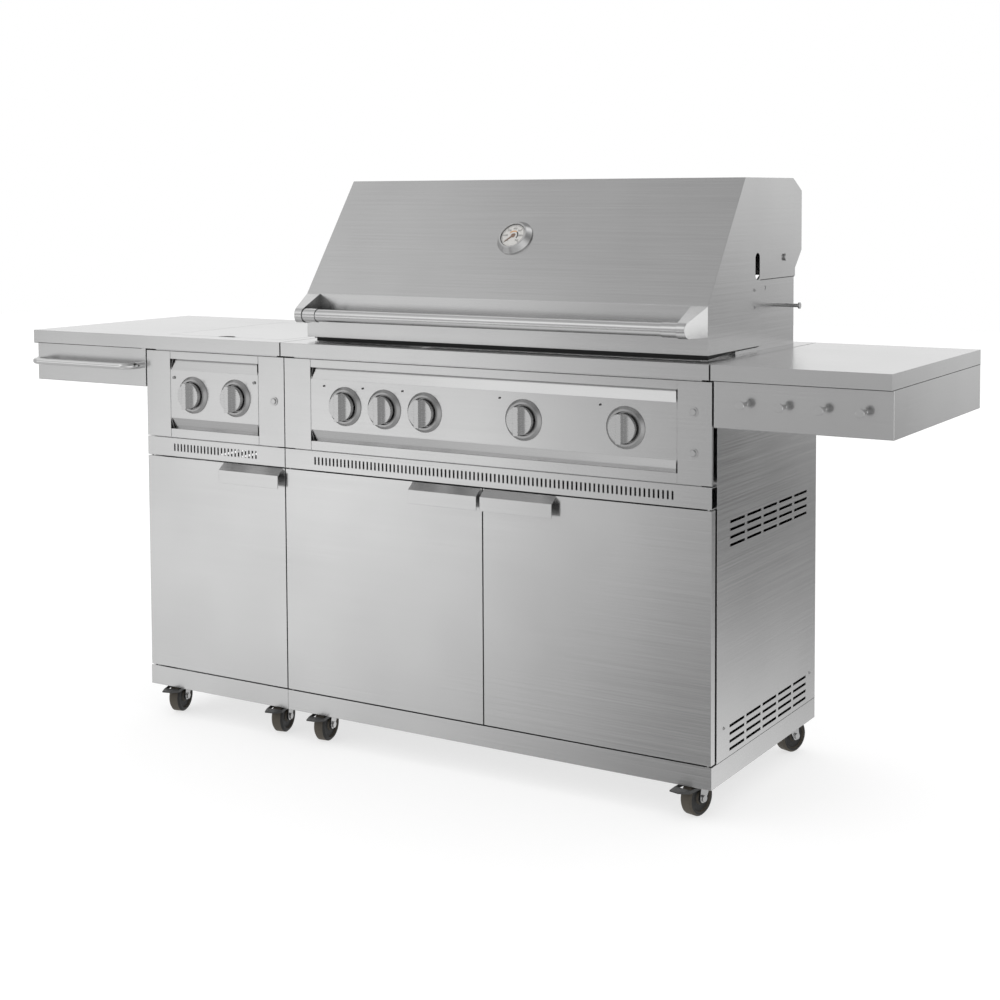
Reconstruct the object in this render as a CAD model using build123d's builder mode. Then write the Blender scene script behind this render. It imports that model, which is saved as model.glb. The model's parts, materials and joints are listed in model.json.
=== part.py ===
"""Free-standing gas grill cart: two cabinets on casters, side shelves, lidded grill and side burner.

Millimetres, +Z up, doors towards -Y. The origin is on the floor under the middle of the cart.
"""
import os
from math import cos, hypot, radians, sin

from build123d import *

os.makedirs("parts", exist_ok=True)

# Cabinets, plinths and shelves
main_w = 1067.0  # wide cabinet under the grill
left_w = 422.0  # narrow cabinet under the side burner
cabinet_d = 560.0  # door faces to back panels
shelf_l = 368.0  # overhang of each side shelf
ground_h = 71.0  # floor to plinth underside
plinth_h = 45.5
door_zone_h = 517.5
vent_h = 44.0
control_h = 213.5
slab_t = 31.0
slab_overhang = 14.0
apron_h = 94.0
apron_inset = 2.0
sheet = 1.5  # folded sheet of the cabinets and tops
seam_gap = 0.6  # between neighbouring modules
front_gap = 2.4  # between the vent strips and panels of neighbouring modules
slab_gap = 3.5  # between neighbouring worktops
shelf_gap = 3.0  # cabinet side to apron, bridged by a spacer
spacer_inset = 12.0
fit_gap = 0.3  # between separate sheets that meet
seat_gap = 0.2  # under pieces that are bolted down
run_gap = 0.05  # radial clearance of shafts and pins
frame_setback = 25.0  # door faces to the side panels' front flanges
flange_w = 25.0

# Louvres in the outer side panels
louvre_l = 75.0
louvre_h = 6.0
louvre_cols = 5
louvre_rows = 4
louvre_pitch_y = 85.5
louvre_pitch_z = 16.0
louvre_mid_y = 296.5  # from the door faces
louvre_low_z = 154.0
louvre_high_z = 572.0

# Doors and their pulls
door_t = 18.5
door_gap = 3.0
door_end_gap = 3.0
door_skin = 1.2
door_liner = 1.0
liner_inset = 1.5
pull_w = 175.0
pull_reach = 19.0
pull_drop = 15.0
pull_h = 30.0
pull_t = 2.0
pull_edge = 3.0  # pull end to the door's free edge
left_pull_edge = 6.5  # more on the left door, clear of the next door when that swings
door_pin_r = 2.5
door_pin_in = 9.0  # pin axis from the hinge edge
door_pin_back = 6.0  # pin axis behind the door face
door_pin_l = 6.0

# Vent strips and control panels
vent_slot_w = 4.2
vent_slot_h = 17.5
vent_slot_pitch = 10.4
post_w = 77.0
rail_h = 23.0  # plain rail above and below the fascia
bevel_h = 26.0
bevel_back = 9.0
shadow_gap = 5.0  # dark line under the worktop
vent_shadow_gap = 2.5  # and above the vent strip
shadow_depth = 6.0
groove_w = 1.6  # joint lines between posts and fascia
groove_d = 0.8
end_return = 7.0
stem_hole_r = 6.5
knob_spots = (172.5, 279.5, 386.5, 636.0, 876.0)  # from the seam, along the wide panel
burner_spots = (172.5, 386.5, 636.0, 876.0)  # the second knob feeds the rear burner
left_knob_spots = (-275.0, -145.0)
button_r = 7.0
button_out = 4.5
button_ring_r = 10.0
button_ring_h = 2.0
button_l = 16.0
button_spread = 82.0
right_post_button = 41.0  # from the right edge of the wide panel
left_post_button = 30.0  # from the seam

# Knobs and bezels
bezel_r = 44.0
bezel_rim_r = 38.0
bezel_dish_r = 33.5
bezel_h = 7.0
bezel_t = 1.5
knob_r = 30.5
knob_back = 3.0  # gap between panel and knob
knob_face = 20.0  # panel to the flat face
knob_bar_w = 12.0
knob_bar_h = 14.0
stem_r = 4.0
stem_out = 15.0

# Lid, in distances from the door faces and the slab top
lid_w = 1003.0
lid_t = 1.5
lid_front = 48.0
lid_lift = 10.5
lid_band_h = 99.0
lid_h = 356.0  # lid underside to lid top
lid_top_front = 232.0
lid_top_back = 495.0
lid_back = 545.0
lid_chamfer_h = 28.0
lid_back_low = 197.0  # lid underside to the start of the rear taper
lid_rear = 507.0
lid_rear_low = 158.0
lid_step = 311.0
lid_step_h = 140.5
spit_slot_w = 24.0
spit_slot_h = 57.0
pivot_back = 448.0
pivot_h = 184.0  # lid underside to hinge axis
pivot_r = 5.0
pivot_head_r = 8.5
pivot_head_t = 4.0
cheek_gap = 1.5
cheek_t = 2.0
cheek_sill = 120.0  # tub front to the start of the cheek's low sill
cheek_notch_w = 6.5
cheek_notch_top = 245.0

# Lid handle and thermometer
handle_reach = 54.0  # lid band to bar axis
handle_drop = 45.0  # crease to bar axis
handle_r = 14.0
ferrule_r = 15.5
ferrule_l = 35.0
bracket_w = 37.0
bracket_taper = 18.0
bracket_nose_r = 17.5
bracket_h = 63.0
gauge_up = 158.0  # crease to gauge centre along the slope
gauge_base_r = 42.0
gauge_top_r = 33.0
gauge_h = 14.0
gauge_dial_r = 29.5
gauge_recess = 3.0
probe_r = 4.0
probe_l = 60.0
needle_l = 23.0
needle_w = 2.4
needle_t = 0.8

# Firebox and what it holds
tub_w = 940.0
tub_front = 70.0
tub_back = 500.0
tub_depth = 182.0
tub_rim = 10.0
cutout_gap = 2.0
back_wall_h = 92.0
grate_ledge_h = 164.0  # tub floor to cooking grate ledge
tamer_ledge_h = 98.0
ledge_w = 12.0
grate_count = 4
grate_gap = 3.0
grate_bar_w = 8.0
grate_bar_h = 12.0
grate_bars = 12
tamer_w = 130.0
tamer_rise = 24.0
burner_r = 13.5
burner_bore_r = 12.0
rear_burner_w = 620.0
rear_burner_h = 58.0
rear_burner_t = 30.0
rack_rod_r = 4.0
rack_front = 235.0
rack_back = 345.0
rack_h = 132.0  # slab top to rack rods
rack_wires = 14
rack_wire_r = 2.5
tray_w = 880.0
tray_d = 440.0
tray_h = 24.0
tray_drop = 16.0  # tub floor to tray rim
tray_lip = 14.0
rail_w = 22.0

# Gas manifolds
manifold_r = 11.0
manifold_back = 52.0
valve_collar_r = 10.0
valve_w = 30.0

# Side burner
well_w = 352.0
well_front = 45.0
well_d = 425.0
well_step = 12.0
well_ledge = 10.0
well_depth = 72.0
cover_gap = 2.0
cover_t = 1.5
cover_pin_r = 3.0
cover_pin_in = 6.0
cover_pin_drop = 5.0
cover_pin_l = 3.5
thumb_w = 46.0
thumb_d = 9.0
head_r = 42.0
head_h = 30.0
pot_grate_drop = 17.0
pot_grate_h = 12.0
pot_bar_w = 9.0
pot_leg = 12.0

# Rail, hooks and peg
towel_r = 8.0
towel_reach = 40.0
towel_l = 326.0
towel_bend_r = 24.0
towel_drop = 43.5  # slab underside to rail axis
hook_first = 70.0
hook_pitch = 80.0
hook_count = 4
hook_r = 4.0
hook_l = 24.0
hook_head_r = 9.0
hook_head_t = 5.0
peg_back = 407.0
peg_h = 92.0
peg_r = 4.0
peg_l = 55.0
peg_head_r = 7.0
peg_head_t = 3.0

# Casters
caster_inset_x = 48.0
caster_inset_side_seam = 54.0  # at the seam, so that neighbours can swivel
caster_inset_main_seam = 74.0
caster_inset_y = 65.0
plate_x = 75.0
plate_y = 62.0
plate_t = 3.0
kingpin_r = 6.0
crown_r = 24.0
crown_h = 12.0
wheel_r = 37.5
wheel_w = 28.0
wheel_trail = 22.0
tyre_edge = 4.0
disc_recess = 4.0
hub_r = 12.0
axle_r = 4.0
axle_head_r = 7.0
axle_head_t = 4.0
leg_t = 2.5
leg_gap = 1.5
pedal_u = 20.0  # pedal pivot from the kingpin, in the fork's legs
pedal_z = 64.0
pedal_pin_r = 2.0
pedal_arm_r = 4.5
pedal_arm_t = 2.0
pedal_cross_u = 68.0  # start of the cross tab, clear of the tyre
pedal_tip_u = 95.0
pedal_tip_z = 66.0
pedal_tab_t = 3.0
pedal_tip_w = 22.0

# Reference lines worked out from the sizes above
seam_x = (left_w - main_w) / 2
left_x0 = seam_x - left_w
main_x1 = seam_x + main_w
main_mid = seam_x + main_w / 2
left_mid = seam_x - left_w / 2
front_y = (towel_reach + towel_r - cabinet_d - tray_lip) / 2
back_y = front_y + cabinet_d
mid_y = front_y + cabinet_d / 2
plinth_z = ground_h
door_z = plinth_z + plinth_h
vent_z = door_z + door_zone_h
control_z = vent_z + vent_h
slab_z = control_z + control_h
top_z = slab_z + slab_t
knob_z = control_z + control_h / 2
flange_y = front_y + frame_setback
panel_h = slab_z - door_z

BOTTOM = (Align.CENTER, Align.CENTER, Align.MIN)
FRONT = (Align.CENTER, Align.MIN, Align.MIN)
ALONG_X = (0, 90, 0)
ALONG_Y = (90, 0, 0)


def save(piece, name):
    """Label a finished piece and write its file."""
    piece.part.label = name
    export_step(piece.part, f"parts/{name}.step")


# Casters: place, direction and pedal of each
corner_y = {"front": front_y + caster_inset_y, "rear": back_y - caster_inset_y}
casters = {}
for module, x0, x1 in (("main", seam_x, main_x1), ("side", left_x0, seam_x)):
    for row, y in corner_y.items():
        inset_0 = caster_inset_main_seam if x0 == seam_x else caster_inset_x
        inset_1 = caster_inset_side_seam if x1 == seam_x else caster_inset_x
        casters[f"{module}_{row}_left"] = (x0 + inset_0, y)
        casters[f"{module}_{row}_right"] = (x1 - inset_1, y)
caster_turn = {
    "main_front_left": 8.0,
    "main_front_right": -13.0,
    "main_rear_left": 172.0,
    "main_rear_right": 160.0,
    "side_front_left": 14.0,
    "side_front_right": 12.0,
    "side_rear_left": 185.0,
    "side_rear_right": 176.0,
}
plate_z = door_z - sheet - seat_gap - plate_t

# Plinth trays, open underneath, with the caster plates bolted up inside them
door_pins = {
    "left_door": (left_x0 + door_gap / 2 + door_pin_in, 1),
    "main_left_door": (seam_x + door_gap / 2 + door_pin_in, 1),
    "main_right_door": (main_x1 - door_gap / 2 - door_pin_in, -1),
}
pin_y = front_y + door_pin_back

with BuildPart() as plinth_trays:
    for x_mid, width in ((main_mid, main_w), (left_mid, left_w)):
        with Locations((x_mid, mid_y, plinth_z)):
            Box(width - seam_gap, cabinet_d, plinth_h, align=BOTTOM)
            Box(width - seam_gap - 2 * sheet, cabinet_d - 2 * sheet, plinth_h - sheet,
                align=BOTTOM, mode=Mode.SUBTRACT)
    for x, _ in door_pins.values():
        with Locations((x, pin_y, door_z)):
            Cylinder(door_pin_r + run_gap, 2 * sheet, mode=Mode.SUBTRACT)
    for x, y in casters.values():
        with Locations((x, y, plate_z)):
            Box(plate_x, plate_y, plate_t, align=BOTTOM)
            Cylinder(kingpin_r + run_gap, plate_t, align=BOTTOM, mode=Mode.SUBTRACT)
save(plinth_trays, "plinth_trays")


def add_side_panel(outer_x, inward, louvred):
    """One side sheet with its front flange folded in, and louvres where it faces out."""
    depth = back_y - flange_y
    with Locations((outer_x + inward * sheet / 2, flange_y + depth / 2, door_z)):
        Box(sheet, depth, panel_h, align=BOTTOM)
    with Locations((outer_x + inward * flange_w / 2, flange_y, door_z)):
        Box(flange_w, sheet, panel_h, align=FRONT)
    if louvred:
        for z in (louvre_low_z, louvre_high_z):
            with BuildSketch(Plane.YZ.offset(outer_x - sheet * 2)) as louvres:
                with Locations((front_y + louvre_mid_y, z)):
                    with GridLocations(louvre_pitch_y, louvre_pitch_z, louvre_cols, louvre_rows):
                        Rectangle(louvre_l, louvre_h)
            extrude(louvres.sketch, amount=4 * sheet, mode=Mode.SUBTRACT)


def add_back_panel(x_mid, width):
    """The sheet between two side panels."""
    with Locations((x_mid, back_y - sheet, door_z)):
        Box(width - seam_gap - 2 * (sheet + fit_gap), sheet, panel_h, align=FRONT)


tub_floor_z = top_z - tub_depth
tray_rim_z = tub_floor_z - tray_drop
tray_z = tray_rim_z - tray_h
tray_slot_gap = 3.0

with BuildPart() as main_cabinet_panels:
    add_side_panel(seam_x + seam_gap / 2, 1, False)
    add_side_panel(main_x1 - seam_gap / 2, -1, True)
    add_back_panel(main_mid, main_w)
    with Locations((main_mid, back_y, tray_z - tray_slot_gap)):
        Box(tray_w + 2 * (rail_w + tray_slot_gap), 4 * sheet, tray_h + tray_drop,
            align=BOTTOM, mode=Mode.SUBTRACT)
save(main_cabinet_panels, "main_cabinet_panels")

with BuildPart() as left_cabinet_panels:
    add_side_panel(left_x0 + seam_gap / 2, 1, True)
    add_side_panel(seam_x - seam_gap / 2, -1, False)
    add_back_panel(left_mid, left_w)
save(left_cabinet_panels, "left_cabinet_panels")

# Slotted vent strips above the doors, channels with the pin holes of the doors
with BuildPart() as vent_grilles:
    for x_mid, width in ((main_mid, main_w), (left_mid, left_w)):
        with Locations((x_mid, front_y, vent_z)):
            Box(width - front_gap, frame_setback, vent_h, align=FRONT)
        with Locations((x_mid, front_y + sheet, vent_z + sheet)):
            Box(width, frame_setback, vent_h - 2 * sheet, align=FRONT, mode=Mode.SUBTRACT)
        slots = int((width - 2 * post_w) / vent_slot_pitch)
        with BuildSketch(Plane.XZ.offset(-front_y + sheet)):
            with Locations((x_mid, vent_z + vent_h / 2)):
                with GridLocations(vent_slot_pitch, vent_h, slots, 1):
                    Rectangle(vent_slot_w, vent_slot_h)
        extrude(amount=-3 * sheet, mode=Mode.SUBTRACT)
    for x, _ in door_pins.values():
        with Locations((x, pin_y, vent_z)):
            Cylinder(door_pin_r + run_gap, 3 * sheet, mode=Mode.SUBTRACT)
save(vent_grilles, "vent_grilles")

# Control panels: posts and rails round a fascia whose upper and lower edges slope back
fascia_z0 = control_z + rail_h
fascia_z1 = slab_z - rail_h


def add_control_panel(x_mid, width, knobs, buttons):
    """One folded panel with holes for its valve stems and push buttons."""
    opening = width - 2 * post_w
    with Locations((x_mid, front_y, control_z)):
        Box(width - front_gap, end_return, control_h, align=FRONT)
    with Locations((x_mid, front_y + sheet, control_z)):
        Box(width - front_gap - 2 * sheet, end_return, control_h, align=FRONT, mode=Mode.SUBTRACT)
    for z, height in ((control_z, vent_shadow_gap), (slab_z - shadow_gap, shadow_gap)):
        with Locations((x_mid, front_y, z)):
            Box(width, end_return + sheet, height, align=FRONT, mode=Mode.SUBTRACT)
    for z in (control_z + vent_shadow_gap, slab_z - shadow_gap - sheet):
        with Locations((x_mid, front_y, z)):
            Box(width - 2 * flange_w, shadow_depth + sheet, sheet, align=FRONT)
    for z, height in ((control_z, vent_shadow_gap + sheet), (slab_z - shadow_gap - sheet, shadow_gap + sheet)):
        with Locations((x_mid, front_y + shadow_depth, z)):
            Box(width - 2 * flange_w, sheet, height, align=FRONT)
    for z in (control_z, slab_z - sheet):
        with Locations((x_mid, front_y + shadow_depth, z)):
            Box(width - 2 * flange_w, frame_setback - shadow_depth, sheet, align=FRONT)
    with Locations((x_mid, front_y, fascia_z0 - sheet)):
        Box(opening + 2 * sheet, bevel_back + sheet, fascia_z1 - fascia_z0 + 2 * sheet, align=FRONT)
    with Locations((x_mid, front_y, fascia_z0)):
        Box(opening, bevel_back + sheet, fascia_z1 - fascia_z0, align=FRONT, mode=Mode.SUBTRACT)
    with BuildSketch(Plane.YZ.offset(x_mid - opening / 2)) as fascia:
        with BuildLine():
            Polyline(
                (front_y + bevel_back, fascia_z0),
                (front_y, fascia_z0 + bevel_h),
                (front_y, fascia_z1 - bevel_h),
                (front_y + bevel_back, fascia_z1),
                (front_y + bevel_back + sheet, fascia_z1),
                (front_y + sheet, fascia_z1 - bevel_h),
                (front_y + sheet, fascia_z0 + bevel_h),
                (front_y + bevel_back + sheet, fascia_z0),
                close=True,
            )
        make_face()
    extrude(fascia.sketch, amount=opening)
    for side in (-1, 1):
        with Locations((x_mid + side * (opening + groove_w) / 2, front_y, control_z)):
            Box(groove_w, groove_d, control_h, align=FRONT, mode=Mode.SUBTRACT)
    for x in knobs:
        with Locations(Location((x, front_y, knob_z), ALONG_Y)):
            Cylinder(stem_hole_r, 4 * sheet, mode=Mode.SUBTRACT)
    for x, z in buttons:
        with BuildSketch(Plane.XZ.offset(-front_y)) as ring:
            with Locations((x, z)):
                Circle(button_ring_r)
        extrude(ring.sketch, amount=button_ring_h)
        with Locations(Location((x, front_y, z), ALONG_Y)):
            Cylinder(button_r + run_gap, 6 * sheet, mode=Mode.SUBTRACT)


main_knobs = [seam_x + spot for spot in knob_spots]
left_knobs = [seam_x + spot for spot in left_knob_spots]
buttons = {
    "upper_right_button": (main_x1 - right_post_button, knob_z + button_spread / 2),
    "lower_right_button": (main_x1 - right_post_button, knob_z - button_spread / 2),
    "side_burner_button": (seam_x - left_post_button, knob_z),
}
main_buttons = [buttons["upper_right_button"], buttons["lower_right_button"]]

with BuildPart() as main_control_panel:
    add_control_panel(main_mid, main_w, main_knobs, main_buttons)
save(main_control_panel, "main_control_panel")

with BuildPart() as left_control_panel:
    add_control_panel(left_mid, left_w, left_knobs, [buttons["side_burner_button"]])
save(left_control_panel, "left_control_panel")

# Tops: folded trays, open underneath
slab_front = front_y - slab_overhang
slab_d = cabinet_d + slab_overhang
slab_mid_y = slab_front + slab_d / 2


def add_slab(x0, x1):
    """A folded tray top between two end lines."""
    with Locations(((x0 + x1) / 2, slab_mid_y, slab_z)):
        Box(x1 - x0 - slab_gap, slab_d, slab_t, align=BOTTOM)
        Box(x1 - x0 - slab_gap - 2 * sheet, slab_d - 2 * sheet, slab_t - sheet,
            align=BOTTOM, mode=Mode.SUBTRACT)


tub_mid_y = front_y + (tub_front + tub_back) / 2
tub_d = tub_back - tub_front
with BuildPart() as main_worktop:
    add_slab(seam_x, main_x1)
    with Locations((main_mid, tub_mid_y, top_z)):
        Box(tub_w + 2 * cutout_gap, tub_d + 2 * cutout_gap, 4 * sheet, mode=Mode.SUBTRACT)
save(main_worktop, "main_worktop")

with BuildPart() as right_worktop:
    add_slab(main_x1, main_x1 + shelf_l)
save(right_worktop, "right_worktop")

# Left top with the stepped burner well hung in its cut-out
well_mid_y = front_y + well_front + well_d / 2
well_z = top_z - well_depth
ledge_z = top_z - sheet - well_step
cover_axis_y = front_y + well_front + well_d - cover_gap - cover_pin_in
cover_axis_z = top_z - cover_pin_drop
head_y = well_mid_y

with BuildPart() as left_worktop:
    add_slab(left_x0 - shelf_l, seam_x)
    with Locations((left_mid, well_mid_y, top_z)):
        Box(well_w, well_d, 4 * sheet, mode=Mode.SUBTRACT)
    with Locations((left_mid, well_mid_y, ledge_z - sheet)):
        Box(well_w + 2 * sheet, well_d + 2 * sheet, well_step + sheet - seat_gap, align=BOTTOM)
    with Locations((left_mid, well_mid_y, well_z)):
        Box(well_w - 2 * well_ledge + 2 * sheet, well_d - 2 * well_ledge + 2 * sheet,
            ledge_z - well_z, align=BOTTOM)
    with Locations((left_mid, well_mid_y, ledge_z)):
        Box(well_w, well_d, 2 * well_step, align=BOTTOM, mode=Mode.SUBTRACT)
    with Locations((left_mid, well_mid_y, well_z + sheet)):
        Box(well_w - 2 * well_ledge, well_d - 2 * well_ledge, well_depth,
            align=BOTTOM, mode=Mode.SUBTRACT)
    with Locations(Location((left_mid, cover_axis_y, cover_axis_z), ALONG_X)):
        Cylinder(cover_pin_r + run_gap, well_w + 4 * sheet, mode=Mode.SUBTRACT)
    for x in left_knobs:
        with Locations((x, head_y, well_z)):
            Cylinder(stem_hole_r, 4 * sheet, mode=Mode.SUBTRACT)
save(left_worktop, "left_worktop")

# Aprons under the shelves, with the hooks welded to the right one
apron_z = slab_z - apron_h
apron_l = shelf_l - apron_inset - shelf_gap
hook_z = slab_z - towel_drop

with BuildPart() as shelf_aprons:
    for wall_x, away in ((left_x0, -1), (main_x1, 1)):
        with Locations((wall_x + away * (shelf_gap + apron_l / 2), mid_y, apron_z)):
            Box(apron_l, cabinet_d, apron_h, align=BOTTOM)
            Box(apron_l - 2 * sheet, cabinet_d - 2 * sheet, apron_h, align=BOTTOM, mode=Mode.SUBTRACT)
        with Locations((wall_x + away * (shelf_gap + fit_gap) / 2, mid_y, apron_z + spacer_inset)):
            Box(shelf_gap - fit_gap, cabinet_d - 2 * frame_setback - 2 * spacer_inset,
                apron_h - 2 * spacer_inset, align=BOTTOM)
    for i in range(hook_count):
        with BuildSketch(Plane.XY.offset(hook_z)):
            with Locations((main_x1 + hook_first + i * hook_pitch, front_y)):
                Polygon(
                    (0, 0),
                    (hook_r, 0),
                    (hook_r, -hook_l),
                    (hook_head_r, -hook_l - hook_head_t / 2),
                    (hook_head_r, -hook_l - hook_head_t),
                    (0, -hook_l - hook_head_t),
                    align=None,
                )
        revolve(axis=Axis((main_x1 + hook_first + i * hook_pitch, front_y, hook_z), (0, 1, 0)))
save(shelf_aprons, "shelf_aprons")

# Towel rail, one rod bent back into the left apron at both ends
rail_mid_x = left_x0 - shelf_l / 2
with BuildPart() as towel_bar:
    with BuildLine():
        FilletPolyline(
            (rail_mid_x - towel_l / 2, front_y, hook_z),
            (rail_mid_x - towel_l / 2, front_y - towel_reach, hook_z),
            (rail_mid_x + towel_l / 2, front_y - towel_reach, hook_z),
            (rail_mid_x + towel_l / 2, front_y, hook_z),
            radius=towel_bend_r,
        )
    with BuildSketch(Plane.XZ.offset(-front_y)):
        with Locations((rail_mid_x - towel_l / 2, hook_z)):
            Circle(towel_r)
    sweep()
save(towel_bar, "towel_bar")

# Firebox tub with its back wall, ledges and the runners of the grease tray
with BuildPart() as firebox:
    with Locations((main_mid, tub_mid_y, tub_floor_z)):
        Box(tub_w, tub_d, tub_depth, align=BOTTOM)
    with Locations((main_mid, tub_mid_y, top_z)):
        Box(tub_w + 2 * tub_rim, tub_d + 2 * tub_rim, sheet, align=BOTTOM)
    with Locations((main_mid, front_y + tub_back - sheet, top_z)):
        Box(tub_w, sheet, back_wall_h, align=FRONT)
    with Locations((main_mid, tub_mid_y, tub_floor_z + sheet)):
        Box(tub_w - 2 * sheet, tub_d - 2 * sheet, tub_depth + back_wall_h,
            align=BOTTOM, mode=Mode.SUBTRACT)
    for z in (tub_floor_z + grate_ledge_h, tub_floor_z + tamer_ledge_h):
        for y in (front_y + tub_front + ledge_w / 2, front_y + tub_back - ledge_w / 2):
            with Locations((main_mid, y, z)):
                Box(tub_w - sheet, ledge_w, sheet, align=(Align.CENTER, Align.CENTER, Align.MAX))
    for x in burner_spots:
        with Locations(Location((seam_x + x, front_y + tub_front, knob_z), ALONG_Y)):
            Cylinder(burner_r + fit_gap, 4 * sheet, mode=Mode.SUBTRACT)
    for side in (-1, 1):
        with BuildSketch(Plane.XZ.offset(-front_y - tub_front)):
            with Locations((main_mid + side * (tray_w / 2 + fit_gap + sheet / 2), tub_floor_z)):
                Rectangle(sheet, tray_drop + tray_h + fit_gap, align=(Align.CENTER, Align.MAX))
            with Locations((main_mid + side * (tray_w / 2 - rail_w / 2), tray_z - fit_gap)):
                Rectangle(rail_w + 2 * (fit_gap + sheet), sheet, align=(Align.CENTER, Align.MAX))
        extrude(amount=-tub_d)
save(firebox, "firebox")

# Cheeks that carry the lid: plates on the top, with the hinge bolts and the spit peg
lid_z = top_z + lid_lift
pivot_y = front_y + pivot_back
pivot_z = lid_z + pivot_h
cheek_x = lid_w / 2 - lid_t - cheek_gap  # outer face from the middle of the lid
cheek_foot = 12.0
cheek_y0 = front_y + lid_step - ledge_w
sill_y0 = front_y + tub_front + cheek_sill
ear_w = 28.0
ear_h = 24.0
peg_z = top_z + peg_h

with BuildPart() as hood_cheeks:
    for side in (-1, 1):
        with BuildSketch(Plane.YZ.offset(main_mid + side * (cheek_x - cheek_t / 2))):
            Polygon(
                (sill_y0, top_z),
                (front_y + lid_rear, top_z),
                (front_y + lid_rear, pivot_z - ear_h),
                (pivot_y + ear_w, pivot_z + ear_h),
                (pivot_y - ear_w, pivot_z + ear_h),
                (front_y + lid_step + ledge_w, lid_z + lid_step_h + ledge_w),
                (cheek_y0, lid_z + lid_step_h - lid_t),
                (cheek_y0, lid_z - 2 * lid_t),
                (sill_y0, lid_z - 2 * lid_t),
                align=None,
            )
        extrude(amount=cheek_t / 2, both=True)
        with Locations((main_mid + side * (cheek_x - cheek_foot / 2), sill_y0, top_z)):
            Box(cheek_foot, front_y + lid_rear - sill_y0, cheek_t, align=FRONT)
        for y in (rack_front, rack_back):
            if y > lid_step - ledge_w:
                with Locations(Location((main_mid + side * cheek_x, front_y + y, top_z + rack_h), ALONG_X)):
                    Cylinder(rack_rod_r + fit_gap, 4 * cheek_t, mode=Mode.SUBTRACT)
        bolt_in = cheek_x - 3 * cheek_t
        bolt_l = lid_w / 2 + fit_gap + pivot_head_t - bolt_in
        with Locations(Location((main_mid + side * (bolt_in + bolt_l / 2), pivot_y, pivot_z), ALONG_X)):
            Cylinder(pivot_r, bolt_l)
        head_mid = lid_w / 2 + fit_gap + pivot_head_t / 2
        with Locations(Location((main_mid + side * head_mid, pivot_y, pivot_z), ALONG_X)):
            Cylinder(pivot_head_r, pivot_head_t)
    with BuildSketch(Plane.XY.offset(peg_z)):
        with Locations((main_mid + cheek_x, front_y + peg_back)):
            Polygon(
                (0, 0),
                (0, peg_r),
                (peg_l - peg_head_t, peg_r),
                (peg_l - peg_head_t, peg_head_r),
                (peg_l, peg_head_r),
                (peg_l, 0),
                align=None,
            )
    revolve(axis=Axis((main_mid, front_y + peg_back, peg_z), (1, 0, 0)))
save(hood_cheeks, "hood_cheeks")

# Cooking grates on the upper ledges
grate_z = tub_floor_z + grate_ledge_h
grate_w = (tub_w - 2 * sheet - grate_gap) / grate_count - grate_gap
grate_d = tub_d - 2 * (sheet + grate_gap)
with BuildPart() as cooking_grates:
    for i in range(grate_count):
        x_mid = main_mid + (i - (grate_count - 1) / 2) * (grate_w + grate_gap)
        bar_pitch = (grate_w - grate_bar_w) / (grate_bars - 1)
        with Locations((x_mid, tub_mid_y, grate_z)):
            with GridLocations(bar_pitch, 1, grate_bars, 1):
                Box(grate_bar_w, grate_d, grate_bar_h, align=BOTTOM)
            with GridLocations(1, grate_d - grate_bar_w, 1, 2):
                Box(grate_w, grate_bar_w, grate_bar_h * 0.75, align=BOTTOM)
save(cooking_grates, "cooking_grates")

# Flame tamers, folded tents over the burners
tamer_z = tub_floor_z + tamer_ledge_h
with BuildPart() as flame_tamers:
    for x in burner_spots:
        with BuildSketch(Plane.XZ.offset(-front_y - tub_front - sheet - fit_gap)):
            with Locations((seam_x + x, tamer_z)):
                Polygon(
                    (-tamer_w / 2, 0),
                    (0, tamer_rise),
                    (tamer_w / 2, 0),
                    (tamer_w / 2, sheet),
                    (0, tamer_rise + 1.2 * sheet),
                    (-tamer_w / 2, sheet),
                    align=None,
                )
        extrude(amount=-(tub_d - 2 * (sheet + fit_gap)))
save(flame_tamers, "flame_tamers")

# Tube burners and the ceramic burner on the back wall
burner_y0 = front_y + manifold_back + valve_w / 2 + fit_gap
burner_l = front_y + tub_back - sheet - burner_y0
with BuildPart() as burners:
    for x in burner_spots:
        with Locations(Location((seam_x + x, burner_y0 + burner_l / 2, knob_z), ALONG_Y)):
            Cylinder(burner_r, burner_l)
        with Locations(Location((seam_x + x, burner_y0 + burner_l / 2 - burner_r, knob_z), ALONG_Y)):
            Cylinder(burner_bore_r, burner_l, mode=Mode.SUBTRACT)
    with Locations((main_mid, front_y + tub_back - sheet, top_z + back_wall_h - rear_burner_h - rail_w / 2)):
        Box(rear_burner_w, rear_burner_t, rear_burner_h, align=(Align.CENTER, Align.MAX, Align.MIN))
        with GridLocations(rear_burner_w / 5, 1, 5, 1):
            with Locations((0, -rear_burner_t, rear_burner_h / 2)):
                Box(rear_burner_w / 5 - rail_w, 2 * cheek_t, rear_burner_h * 0.7, mode=Mode.SUBTRACT)
save(burners, "burners")

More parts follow.
